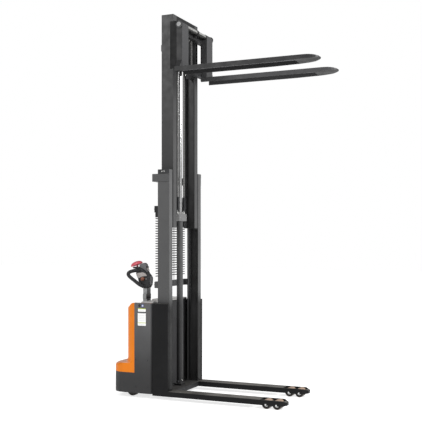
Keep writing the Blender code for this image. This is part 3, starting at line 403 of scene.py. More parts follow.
def label_print(name, rows, bars, band, stripe):
    """A printed plate: pale ground, rows of faint grey bars and one coloured band."""
    made, tree, shader = new_material(name)
    point = axes(tree, "Generated")
    line = arithmetic(tree, "FRACT", arithmetic(tree, "MULTIPLY", point["Z"], rows))
    in_line = remap(tree, line, 0.58, 0.66, 0.0, 1.0)
    in_bar = within(tree, point["X"], *bars)
    faint = arithmetic(tree, "MULTIPLY", arithmetic(tree, "MULTIPLY", in_line, in_bar), 0.35)
    ground = mix(tree, faint, (0.86, 0.87, 0.86), (0.42, 0.44, 0.48))
    base = mix(tree, within(tree, point["Z"], *band), ground, stripe)
    scuff = remap(tree, noise(tree, 120.0, 5.0), 0.62, 0.8, 0.0, 0.3)
    tree.links.new(mix(tree, scuff, base, (0.55, 0.55, 0.53)), shader.inputs["Base Color"])
    shader.inputs["Roughness"].default_value = 0.35
    bump(tree, shader, scuff, 0.0001)
    return made


def sign_print(name):
    """A round sign: blue ground with a plain pale disc in the middle."""
    made, tree, shader = new_material(name)
    point = axes(tree, "Generated")
    dx, dz = (arithmetic(tree, "POWER", arithmetic(tree, "SUBTRACT", point[a], 0.5), 2.0)
              for a in "XZ")
    away = arithmetic(tree, "SQRT", arithmetic(tree, "ADD", dx, dz))
    ring = remap(tree, away, 0.22, 0.26, 0.0, 1.0)
    tree.links.new(mix(tree, ring, (0.80, 0.82, 0.86), (0.10, 0.13, 0.32)),
                   shader.inputs["Base Color"])
    shader.inputs["Roughness"].default_value = 0.35
    bump(tree, shader, noise(tree, 400.0, 2.0), 0.00005)
    return made


materials = {}


def make_materials():
    table = {
        "charcoal_paint": (painted, (0.050, 0.050, 0.051), 0.46, {}),
        # mast_paint: painted shade, darker towards the foot and on the faces turned towards and away
        # from the centre line
        "mast_paint": (painted, (0.082, 0.082, 0.083), 0.42,
                       dict(fade=(0.80, 1.00, 0.20), inside=0.18, outside=0.70)),
        # inner_mast_paint: painted shade on the faces turned towards and away from the centre line
        "inner_mast_paint": (painted, (0.056, 0.056, 0.057), 0.44,
                             dict(specular=0.35, inside=0.36, outside=0.38)),
        # fork_paint: near-black base with painted light on faces turned sideways or forwards and on
        # the hollow's ceiling, and painted shade on other faces that look down
        "fork_paint": (painted, (0.0145, 0.0145, 0.015), 0.48,
                       dict(specular=0.22, outside=1.6, inside=3.5, front=4.0,
                            under=(HOLLOW_Z, 0.45, 14.0))),
        # carriage_paint: a darker copy of the charcoal paint standing in for shade, darker still on
        # faces turned away from the centre line
        "carriage_paint": (painted, (0.026, 0.026, 0.027), 0.5,
                           dict(specular=0.12, outside=0.28)),
        "dark_paint": (painted, (0.014, 0.014, 0.015), 0.55, dict(specular=0.25)),
        # tube_paint: painted shade, darker towards the foot
        "tube_paint": (painted, (0.058, 0.058, 0.059), 0.40,
                       dict(fade=(0.80, 1.00, 0.50), specular=0.45)),
        "leg_paint": (painted, (0.0085, 0.0085, 0.009), 0.5,
                      dict(specular=0.12, wear=0.6, dust=0.30)),
        "bulkhead_paint": (painted, (0.042, 0.042, 0.043), 0.6, dict(specular=0.15)),
        # grey_paint: painted shade, the side panels and chassis frame darken towards the foot
        "grey_paint": (painted, (0.088, 0.088, 0.090), 0.50,
                       dict(specular=0.35, wear=0.2, dust=0.05, fade=(0.10, 0.80, 0.42))),
        "light_grey": (painted, (0.27, 0.27, 0.27), 0.5, {}),
        # clamp_paint: its forward faces are darkened as painted shade
        "clamp_paint": (painted, (0.35, 0.35, 0.35), 0.5, dict(specular=0.3, front=0.42)),
        "top_paint": (painted, (0.36, 0.352, 0.346), 0.5, dict(dust=0.3)),
        "iron": (painted, (0.014, 0.014, 0.015), 0.6, dict(specular=0.25, wear=0.6, peel=0.0005)),
        # orange cover: the pale colour on faces that look up is a painted highlight
        "orange_cover": (moulded, (0.68, 0.180, 0.006), 0.40,
                         dict(depth=0.0001, specular=0.20, sheen=1.1,
                              top_highlight=(0.72, 0.58, 0.50))),
        "black_plastic": (moulded, (0.014, 0.0145, 0.016), 0.46, dict(sheen=2.0, specular=0.4)),
        "grey_plastic": (moulded, (0.115, 0.115, 0.12), 0.5, {}),
        "light_plastic": (moulded, (0.38, 0.35, 0.335), 0.5, {}),
        "cap_plastic": (moulded, (0.62, 0.62, 0.62), 0.5, {}),
        "brown_plastic": (moulded, (0.22, 0.075, 0.040), 0.5, {}),
        "red_plastic": (moulded, (0.60, 0.085, 0.115), 0.32, dict(depth=0.00003)),
        "yellow_plastic": (moulded, (0.75, 0.52, 0.03), 0.45, {}),
        "collar_plastic": (moulded, (0.20, 0.115, 0.10), 0.5, {}),
        "dark_glass": (moulded, (0.012, 0.014, 0.014), 0.12, dict(depth=0.00001)),
        "steel": (metal, (0.42, 0.42, 0.41), 0.34, {}),
        "zinc": (metal, (0.62, 0.62, 0.60), 0.30, dict(stretch=(1, 1, 1), stain=0.15)),
        # sleeves: their darker undersides are painted shade
        "sleeve": (metal, (0.74, 0.74, 0.72), 0.34, dict(stretch=(1, 1, 1), underside_shade=0.06)),
        "chrome": (metal, (0.60, 0.60, 0.60), 0.16,
                   dict(stretch=(8, 8, 1), depth=0.00001, stain=0.12)),
        # tyres: the near-black on faces that do not look up is painted shade
        "polyurethane": (tread, (0.34, 0.24, 0.175), 0.42, {}),
        "rubber": (tread, (0.022, 0.022, 0.023), 0.62, {}),
    }
    for name, (build, colour, roughness, options) in table.items():
        materials[name] = build(name + "_look", colour, roughness, **options)
    materials["arm"] = two_tone_arm("arm_look")
    materials["chain_steel"] = chain_links("chain_look")


# ---- meshes ----
def make(name, shape, look, body, sharp=38, flat=False):
    """A mesh piece with its material, riding on a body."""
    mesh = bpy.data.meshes.new(name)
    bmesh.ops.recalc_face_normals(shape, faces=shape.faces)
    shape.to_mesh(mesh)
    shape.free()
    piece = bpy.data.objects.new(name, mesh)
    bpy.context.scene.collection.objects.link(piece)
    mesh.materials.append(materials[look] if isinstance(look, str) else look)
    if not flat:
        mesh.shade_smooth()
        mesh.set_sharp_from_angle(angle=math.radians(sharp))
    if body:
        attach(piece, body)
    return piece


def soften(piece, width, segments=2):
    modifier = piece.modifiers.new("soft_edges", "BEVEL")
    modifier.width = width
    modifier.segments = segments
    modifier.limit_method = "ANGLE"
    modifier.angle_limit = math.radians(35)
    modifier.harden_normals = False
    return piece


def place(axis, u, v, w):
    """A point from two outline coordinates and a distance along X, Y or Z."""
    return {"X": (w, u, v), "Y": (u, w, v), "Z": (u, v, w)}[axis]


def bridge(shape, rings, closed=False):
    """Joins rings of vertices with quads, and caps both ends unless the rings close on themselves."""
    for one, two in zip(rings, rings[1:] + rings[:1] if closed else rings[1:]):
        for k in range(len(one)):
            m = (k + 1) % len(one)
            shape.faces.new((one[k], one[m], two[m], two[k]))
    if not closed:
        shape.faces.new(rings[0])
        shape.faces.new(rings[-1])


def add_prism(shape, outline, axis, low, high):
    bridge(shape, [[shape.verts.new(place(axis, u, v, w)) for u, v in outline]
                   for w in (low, high)])


def circle(u, v, radius, count, start=0.0, turn=math.tau):
    steps = count if turn == math.tau else count - 1
    angles = [start + turn * i / steps for i in range(count)]
    return [(u + radius * math.cos(a), v + radius * math.sin(a)) for a in angles]


def rounded(u, v, radius, count):
    """A rectangle between two limits each way, with rounded corners."""
    outline = []
    for a, b, start in ((u[1] - radius, v[0] + radius, -90), (u[1] - radius, v[1] - radius, 0),
                        (u[0] + radius, v[1] - radius, 90), (u[0] + radius, v[0] + radius, 180)):
        outline += circle(a, b, radius, count, math.radians(start), math.pi / 2)
    return outline


def mirrored(profile, side):
    """A lathe profile along Y, turned over for the left side (-1)."""
    return [(r, side * y) for r, y in profile]


def add_lathe(shape, axis, centre, profile, count=32):
    """Turns a closed profile of (radius, place along the axis) points; radius 0 closes it."""
    rings = []
    for r, w in profile:
        if r < 1e-6:
            rings.append([shape.verts.new(place(axis, *centre, w))])
        else:
            rings.append([shape.verts.new(place(axis, u, v, w))
                          for u, v in circle(*centre, r, count)])
    for here, there in zip(rings, rings[1:] + rings[:1]):
        if len(here) == 1 and len(there) == 1:
            continue
        for i in range(count):
            j = (i + 1) % count
            ring = [here[i % len(here)], here[j % len(here)], there[j % len(there)],
                    there[i % len(there)]]
            shape.faces.new(list(dict.fromkeys(ring)))


def add_box(shape, x, y, z, chamfer=0.0):
    """A box given from the mast's front face, with its upright edges cut off by a chamfer."""
    c = chamfer
    (a, b), (e, f) = x, sorted(y)
    if c:
        outline = [(a + c, e), (b - c, e), (b, e + c), (b, f - c), (b - c, f), (a + c, f),
                   (a, f - c), (a, e + c)]
    else:
        outline = [(a, e), (b, e), (b, f), (a, f)]
    add_prism(shape, from_mast(outline), "Z", *z)


def add_tube(shape, points, radius, count=12, squeeze=(1.0, 1.0), smooth_steps=0):
    """A bar swept along points; squeeze makes it oval."""
    path = [Vector(p) for p in points]
    if smooth_steps:
        path = curve_through(path, smooth_steps)
    last = len(path) - 1
    rings = []
    outward = Vector((0.3, 0.2, 1.0))
    for i, here in enumerate(path):
        ahead = (path[min(i + 1, last)] - path[max(i - 1, 0)]).normalized()
        outward = (outward - ahead * outward.dot(ahead)).normalized()
        across = ahead.cross(outward)
        rings.append([shape.verts.new(here + radius * (squeeze[0] * u * outward
                                                       + squeeze[1] * v * across))
                      for u, v in circle(0, 0, 1.0, count)])
    bridge(shape, rings)


def curve_through(points, steps):
    """A smooth path through the points, steps to each stretch."""
    knots = [points[0], *points, points[-1]]
    path = []
    for a, b, c, d in zip(knots, knots[1:], knots[2:], knots[3:]):
        for k in range(steps):
            t = k / steps
            path.append(0.5 * (2 * b + (c - a) * t + (2 * a - 5 * b + 4 * c - d) * t * t
                               + (3 * b - a - 3 * c + d) * t ** 3))
    path.append(points[-1].copy())
    return path


def add_bolt(shape, where, normal, size=0.008, washer=True, nut=False):
    """Hex head with a chamfered crown on a washer, standing out along the normal."""
    turn = Vector(normal).to_track_quat("Z", "Y").to_matrix()
    thick = size * 0.16 if washer else 0.0
    high = thick + size * 0.72
    parts = [(6, ((1.0, thick), (1.0, high - size * 0.12), (0.86, high)))]
    if washer:
        parts.append((24, ((1.25, 0.0), (1.25, thick))))
    if nut:
        parts.append((12, ((0.5, high - 0.0005), (0.5, high + size * 0.45))))
    for count, layers in parts:
        bridge(shape, [[shape.verts.new(Vector(where) + turn @ Vector((u, v, height)))
                        for u, v in circle(0, 0, size * scale, count)]
                       for scale, height in layers])


def bolts(name, places, body, size, look="zinc"):
    shape = bmesh.new()
    for where, normal in places:
        add_bolt(shape, where, normal, size)
    make(name, shape, look, body, sharp=25)


# ---- CAD nodes that stay ----
def dress_cad_nodes():
    looks = {
        "leg_paint": both("support_leg"),
        "bulkhead_paint": ["bulkhead_plate"],
        "mast_paint": both("outer_upright"),
        "inner_mast_paint": both("inner_upright"),
        "charcoal_paint": ["outer_top_tie", "outer_middle_tie"],
        "dark_paint": ["base_crossmember", "fork_shaft", "guard_top_bar", "inner_bottom_tie",
                       "rod_crosshead", "inner_top_crossmember"],
        "tube_paint": ["cylinder_tube"],
        "fork_paint": both("fork"),
        "carriage_paint": ["carriage_frame"],
        "grey_paint": both("side_panel") + ["chassis_frame"],
        "top_paint": ["top_cover"],
        "orange_cover": ["rear_cover"],
        "clamp_paint": ["cylinder_clamp"],
        "black_plastic": ["battery", "hydraulic_power_unit", "motor_controller"],
        "chrome": ["piston_rod"],
        "steel": both("chain_sheave", "caster_fork") + ROLLERS + ["gearbox", "key_switch"],
        "light_plastic": ["lift_rocker"],
        "brown_plastic": ["throttle"],
        "red_plastic": ["emergency_stop", "belly_button"],
        "arm": ["tiller_arm", "drive_motor_and_column"],
    }
    for look, names in looks.items():
        for name in names:
            data = nodes[name].data
            if not data.materials:
                data.materials.append(None)
            for i in range(len(data.materials)):
                data.materials[i] = materials[look]
    rounding = {
        0.004: both("outer_upright", "inner_upright") + ["tiller_arm"],
        0.003: both("support_leg") + ["outer_top_tie", "outer_middle_tie", "guard_top_bar",
                                      "rod_crosshead", "inner_bottom_tie", "cylinder_clamp",
                                      "top_cover", "base_crossmember"],
        0.002: both("fork") + ["carriage_frame"],
    }
    for width, names in rounding.items():
        for name in names:
            weld = nodes[name].modifiers.new("weld", "WELD")
            weld.merge_threshold = 0.00002
            soften(nodes[name], width)


# ---- mast ----
def build_mast_details():
    shape = bmesh.new()
    for side in (-1, 1):
        add_box(shape, (-0.116, -0.001), (side * 0.3403, side * 0.3465), (2.0515, 2.0895), 0.003)
    soften(make("upright_stop_blocks", shape, "black_plastic", "chassis"), 0.001)
    bolts("stop_block_bolts", [(at(x, side * 0.3465, 2.0715), (0, side, 0))
                               for side in (-1, 1) for x in (-0.072, -0.050)],
          "chassis", 0.0046)
    bolts("tie_bolts", [(at(x, side * y, z), (-1, 0, 0)) for side in (-1, 1)
                        for x, y, z in ((-0.1655, 0.310, 1.730), (-0.1655, 0.310, 1.038),
                                        (-0.1735, 0.318, 2.015))],
          "chassis", 0.0070)

    # round wire grille in place of the flat one
    shape = bmesh.new()
    wire_x, low, high = -0.160, 1.0695, 1.6990
    for y in (-0.255, -0.070, 0.070, 0.255):
        add_tube(shape, [at(wire_x, y, low), at(wire_x, y, high)], 0.0026, 8)
    first, last, wires = 1.117, 1.644, 24
    for i in range(wires):
        z = first + i * (last - first) / (wires - 1)
        add_tube(shape, [at(wire_x, -0.300, z), at(wire_x, 0.300, z)], 0.0046, 8)
    grille = make("wire_grille", shape, "dark_paint", "chassis")
    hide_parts("mesh_guard")

    # weld beads where the beams meet the uprights
    shape = bmesh.new()
    for z in (1.976, 1.006):
        for side in (-1, 1):
            points = [at(-0.1208, side * y, z + 0.002 * math.sin(y * 900))
                      for y in (0.302, 0.306, 0.310, 0.314, 0.318)]
            add_tube(shape, points, 0.0028, 8, smooth_steps=3)
    make("tie_welds", shape, "iron", "chassis")

    # cylinder: gland nut, port and feed pipe
    shape = bmesh.new()
    hexagon, ring = (from_mast((ROD_X + u, v) for u, v in circle(0, 0, r, 6, math.pi / 6))
                     for r in (0.0385, 0.0345))
    bridge(shape, [[shape.verts.new((u, v, z)) for u, v in outline]
                   for z, outline in ((1.6945, ring), (1.6945, hexagon), (1.7075, hexagon),
                                      (1.7075, ring))], closed=True)
    soften(make("gland_nut", shape, "steel", "chassis"), 0.0012)

    shape = bmesh.new()
    add_lathe(shape, "Y", (MAST_X + ROD_X, 0.1150),
              [(0, -0.020), (0.013, -0.020), (0.013, -0.046), (0.0105, -0.049), (0.0105, -0.057),
               (0, -0.057)], 20)
    add_tube(shape, [at(ROD_X, -0.055, 0.106), at(ROD_X, -0.070, 0.1055),
                     at(-0.072, -0.080, 0.1050), at(-0.100, -0.082, 0.1048),
                     at(-0.1590, -0.082, 0.1048)], 0.0052, 12, smooth_steps=6)
    make("feed_pipe", shape, "black_plastic", "chassis")
    bolts("foot_bolts", [(at(-0.089, -0.036, 0.1003), (0, 0, 1)),
                         (at(-0.089, 0.036, 0.1003), (0, 0, 1)),
                         (at(-0.0335, -0.012, 0.128), (1, 0, 0))], "chassis", 0.0055)
    bolts("clamp_bolts", [(at(-0.029, y, 1.6605), (1, 0, 0)) for y in (-0.064, 0.064)],
          "chassis", 0.0050, look="light_grey")

    # chain anchors: two nuts, a hub and a dark clevis with two cross pins
    nuts, clevises = bmesh.new(), bmesh.new()
    for side in (-1, 1):
        y = side * CHAIN_Y
        add_bolt(nuts, at(CHAIN_X, y, 1.6945), (0, 0, 1), 0.0098)
        add_bolt(nuts, at(CHAIN_X, y, 1.7045), (0, 0, 1), 0.0092, washer=False)
        outline = [(-0.0120, 1.742), (0.0120, 1.742), (0.0125, 1.800), (0.0115, 1.842),
                   (0.0080, 1.852), (-0.0080, 1.852), (-0.0115, 1.842), (-0.0125, 1.800)]
        add_prism(clevises, from_mast((CHAIN_X + x, z) for x, z in outline), "Y",
                  y - 0.0108, y + 0.0108)
        add_lathe(clevises, "Z", (MAST_X + CHAIN_X, y),
                  [(0, 1.7270), (0.0115, 1.7270), (0.0125, 1.7340), (0.0125, 1.7560),
                   (0.0095, 1.7640), (0, 1.7640)], 16)
        for z in (1.812, 1.832):
            add_lathe(clevises, "Y", (MAST_X + CHAIN_X, z),
                      [(0, y - 0.012), (0.0042, y - 0.012), (0.0042, y + 0.012),
                       (0, y + 0.012)], 12)
    make("anchor_nuts", nuts, "zinc", "chassis", sharp=25)
    make("chain_anchors", clevises, "black_plastic", "chassis")


def build_chains():
    bottom, pulley_z, lower_beam = 1.8022, 3.360, 3.0757
    back_x, front_x = MAST_X + CHAIN_X, MAST_X + 2 * SHEAVE_X - CHAIN_X
    half, mean_radius = 0.0055, 0.040
    for name, side in SIDES:
        low, high = side * CHAIN_Y - CHAIN_HALF, side * CHAIN_Y + CHAIN_HALF
        for run, x, z_from, z_to, steps, ends in (
                ("back", back_x, bottom, pulley_z, 48, ("chassis", "inner_mast")),
                ("front", front_x, lower_beam, pulley_z, 24, ("fork_carriage", "inner_mast"))):
            shape = bmesh.new()
            section = ((x - half, low), (x + half, low), (x + half, high), (x - half, high))
            bridge(shape, [[shape.verts.new((u, v, z_from + (z_to - z_from) * i / steps))
                            for u, v in section] for i in range(steps + 1)])
            piece = make(f"chain_{run}_{name}", shape, "chain_steel", None,
                         flat=True)
            if run == "back":
                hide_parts(f"lift_chain_{name}")
            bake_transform(piece)
        shape = bmesh.new()
        inner, outer = mean_radius - half, mean_radius + half
        section = ((inner, low), (outer, low), (outer, high), (inner, high))
        bridge(shape, [[shape.verts.new((MAST_X + SHEAVE_X + r * math.cos(a), y,
                                         pulley_z + 0.0001 + r * math.sin(a)))
                        for r, y in section] for a in (math.pi * k / 20 for k in range(21))])
        make(f"chain_wrap_{name}", shape, "chain_steel", "inner_mast", flat=True)


def build_roller_seals():
    """A pressed seal and a lip on both faces of each roller."""
    for name in ROLLERS:
        low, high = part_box(name)
        centre = ((low.x + high.x) / 2, (low.z + high.z) / 2)
        shape = bmesh.new()
        for y, out in ((low.y, -1), (high.y, 1)):
            add_lathe(shape, "Y", centre,
                      [(0.0180, y - out * 0.001), (0.0340, y - out * 0.001),
                       (0.0340, y + out * 0.0004), (0.0290, y + out * 0.0009),
                       (0.0180, y + out * 0.0004)], 28)
        make(name + "_seals", shape, "black_plastic", name)


# ---- carriage and forks ----
def build_carriage_details():
    shape = bmesh.new()
    centre = (MAST_X + SHAFT_X, SHAFT_Z)
    profile = [(0.0206, -0.1980), (0.0232, -0.1980), (0.0240, -0.1965)]
    pitch = 0.0100
    for k in range(20):
        y = -0.1965 + pitch * k
        profile += [(0.0240, y), (0.0240, y + 0.0062), (0.0218, y + 0.0072), (0.0218, y + 0.0090),
                    (0.0240, y + pitch)]
    profile += [(0.0240, 0.0075), (0.0232, 0.0090), (0.0206, 0.0090)]
    add_lathe(shape, "Y", centre, profile, 28)
    make("shaft_ribbed_sleeve", shape, "sleeve", "fork_carriage")
    shape = bmesh.new()
    add_lathe(shape, "Y", centre,
              [(0.0206, 0.0310), (0.0236, 0.0310), (0.0242, 0.0330), (0.0242, 0.1950),
               (0.0236, 0.1975), (0.0206, 0.1975)], 28)
    make("shaft_plain_sleeve", shape, "sleeve", "fork_carriage")
    shape = bmesh.new()
    for side in (-1, 1):
        add_lathe(shape, "Y", centre, mirrored(
            [(0.0206, 0.3352), (0.0320, 0.3352), (0.0332, 0.3370), (0.0332, 0.3410),
             (0.0316, 0.3425), (0.0206, 0.3425)], side), 28)
    for low, high in ((0.0085, 0.0100), (0.0300, 0.0310)):
        add_lathe(shape, "Y", centre,
                  [(0.0205, low), (0.0295, low), (0.0295, high), (0.0205, high)], 28)
    make("shaft_retaining_rings", shape, "black_plastic", "fork_carriage")
    shape = bmesh.new()
    for side in (-1, 1):
        add_lathe(shape, "Y", centre, mirrored(
            [(0, 0.3460), (0.0195, 0.3460), (0.0200, 0.3475), (0.0185, 0.3492),
             (0.0050, 0.3496), (0.0035, 0.3480), (0, 0.3480)], side), 28)
    make("shaft_end_faces", shape, "light_grey", "fork_carriage")

    # wavy weld beads behind and in front of each fork's heel
    shape = bmesh.new()
    for side in (-1, 1):
        for x, z, rise, step, radius in ((0.0705, 3.0015, 0.0012, 0.01575, 0.0030),
                                         (0.1275, 3.0052, 0.0010, 0.01580, 0.0034)):
            points = [at(x, side * (0.206 + step * k), z + rise * (k % 2)) for k in range(9)]
            add_tube(shape, points, radius, 8, smooth_steps=2)
    make("fork_heel_welds", shape, "iron", "fork_carriage")
    bolts("carriage_bolts", [(at(0.0115, side * 0.296, z), (-1, 0, 0)) for side in (-1, 1)
                             for z in (3.030, 3.058)], "fork_carriage", 0.0060)


# ---- body ----
def build_body_details():
    shape = bmesh.new()
    for side in (-1, 1):
        for x in (-0.331, -0.208):
            for z in (0.100, 0.350):
                add_lathe(shape, "Y", (MAST_X + x, z), mirrored(
                    [(0, 0.3695), (0.0055, 0.3695), (0.0062, 0.3705), (0.0045, 0.3724),
                     (0.0022, 0.3727), (0.0020, 0.3712), (0, 0.3712)], side), 16)
    make("panel_screws", shape, "black_plastic", "chassis")

    # printed plates and round signs on the left panel
    face = -PANEL_Y
    for name, x, z, look in (
            ("data_plate", (-0.309, -0.226), (0.665, 0.779),
             label_print("data_plate_look", 7.0, (0.10, 0.85), (0.20, 0.25),
                         (0.55, 0.62, 0.12))),
            ("notice_plate", (-0.307, -0.226), (0.793, 0.822),
             label_print("notice_plate_look", 2.0, (0.12, 0.88), (0.78, 1.1),
                         (0.50, 0.60, 0.10)))):
        shape = bmesh.new()
        add_prism(shape, from_mast(rounded(x, z, 0.004, 5)), "Y", face - 0.0008, face - 0.0001)
        make(name, shape, look, "chassis", flat=True)
    for name, x, look in (("round_sign_dark", -0.291, "black_plastic"),
                          ("round_sign_blue", -0.2595, sign_print("round_sign_look"))):
        shape = bmesh.new()
        add_lathe(shape, "Y", (MAST_X + x, 0.8475),
                  [(0, face - 0.0001), (0.0125, face - 0.0001), (0.0125, face - 0.0009),
                   (0, face - 0.0009)], 24)
        make(name, shape, look, "chassis", flat=True)

    # console: battery gauge, key bezel, ring under the stop button
    x, top = MAST_X + CONSOLE_X, CONSOLE_TOP
    shape = bmesh.new()
    add_lathe(shape, "Z", (x, 0.0), [(0.0195, top), (0.0245, top), (0.0235, top + 0.0045),
                                     (0.0205, top + 0.0050), (0.0195, top + 0.0025)], 32)
    add_lathe(shape, "Z", (x, -0.060), [(0.0107, top), (0.0165, top), (0.0155, top + 0.0037),
                                        (0.0107, top + 0.0041)], 24)
    make("console_bezels", shape, "black_plastic", "chassis")
    shape = bmesh.new()
    add_lathe(shape, "Z", (x, 0.0), [(0, top), (0.0194, top), (0.0194, top + 0.0017),
                                     (0.0150, top + 0.0027), (0, top + 0.0030)], 32)
    make("battery_gauge", shape, "dark_glass", "chassis")
    shape = bmesh.new()
    add_lathe(shape, "Z", (x, 0.060), [(0.0108, top), (0.0265, top), (0.0260, top + 0.0013),
                                       (0.0108, top + 0.0013)], 32)
    make("stop_button_ring", shape, "yellow_plastic", "chassis")

    # collar round the steering column, and the thin edge of the top cover's gasket
    shape = bmesh.new()
    add_lathe(shape, "Z", (MAST_X - 0.4155, 0.0),
              [(0.0230, 0.8043), (0.0330, 0.8043), (0.0325, 0.8055), (0.0300, 0.8064),
               (0.0230, 0.8064)], 28)
    make("column_collar", shape, "collar_plastic", "chassis")
    shape = bmesh.new()
    for side in (-1, 1):
        add_tube(shape, [at(x, side * 0.3668, 0.8722) for x in (-0.166, -0.342)], 0.0022, 8)
    make("cover_gasket", shape, "collar_plastic", "chassis")

    # rear cover: a moulded hand hold, the charger flap and louvres
    shape = bmesh.new()
    outline = rounded((-0.121, 0.121), (0.692, 0.758), 0.016, 6)
    inner = [(y * 0.90, 0.725 + (z - 0.725) * 0.62) for y, z in outline]
    bridge(shape, [[shape.verts.new(at(REAR_X + out, y, z)) for y, z in line]
                   for out, line in ((0.0005, outline), (-0.0035, outline), (-0.0040, inner),
                                     (0.0, inner))], closed=True)
    soften(make("hand_hold_rim", shape, "orange_cover", "chassis"), 0.0012)
    shape = bmesh.new()
    add_prism(shape, rounded((-0.060, 0.060), (0.564, 0.648), 0.008, 5), "X",
              MAST_X + REAR_X - 0.0030, MAST_X + REAR_X + 0.0002)
    add_box(shape, (-0.4625, -0.4598), (-0.020, 0.020), (0.566, 0.574))
    soften(make("charger_flap", shape, "black_plastic", "chassis"), 0.0012)
    shape = bmesh.new()
    for k in range(5):
        z = 0.420 + 0.016 * k
        add_box(shape, (-0.4590, -0.4566), (-0.110, 0.110), (z, z + 0.005))
    soften(make("cover_louvres", shape, "orange_cover", "chassis"), 0.0008)


# ---- wheels ----
def build_wheels():
    for name, _ in SIDES:
        for k in (1, 2):
            wheel(f"load_wheel_{name}_{k}", 0.0086, 0.0345, 0.004)
        wheel(f"caster_wheel_{name}", 0.0088, 0.034, 0.005, look="rubber")
    wheel("drive_wheel", 0.0088, 0.074, 0.010)


def wheel(node, bore, hub, hub_inset, look="polyurethane"):
    """A bonded tyre with a rounded shoulder on a cast hub, with bearings in its bore."""
    low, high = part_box(node)
    centre = ((low.x + high.x) / 2, (low.z + high.z) / 2)
    radius = (high.z - low.z) / 2
    a, b = low.y, high.y
    shoulder = 0.006
    flat = radius - shoulder
    turns = [math.radians(d) for d in (0, 25, 50, 75, 90)]
    profile = [(hub, a + 0.001)]
    profile += [(flat + shoulder * math.sin(t), a + shoulder - shoulder * math.cos(t))
                for t in turns]
    profile += [(flat + shoulder * math.cos(t), b - shoulder + shoulder * math.sin(t))
                for t in turns]
    profile += [(hub, b - 0.001)]
    shape = bmesh.new()
    add_lathe(shape, "Y", centre, profile, 44)
    tyre = make(node + "_tyre", shape, look, node)
    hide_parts(node)
    shape = bmesh.new()
    mid = bore + (hub - bore) * 0.45
    add_lathe(shape, "Y", centre,
              [(mid, a + 0.003), (mid + 0.002, a + hub_inset), (hub - 0.004, a + hub_inset),
               (hub - 0.001, a + 0.0015), (hub, a + 0.0015), (hub, b - 0.0015),
               (hub - 0.001, b - 0.0015), (hub - 0.004, b - hub_inset),
               (mid + 0.002, b - hub_inset), (mid, b - 0.003)], 40)
    make(node + "_hub", shape, "iron", node)
    shape = bmesh.new()
    for y, out in ((a, 1), (b, -1)):
        add_lathe(shape, "Y", centre,
                  [(bore, y + out * 0.0012), (bore + 0.002, y + out * 0.0008),
                   (mid - 0.0005, y + out * 0.0026), (mid - 0.0005, y + out * 0.012),
                   (bore, y + out * 0.012)], 32)
    make(node + "_bearings", shape, "steel", node)


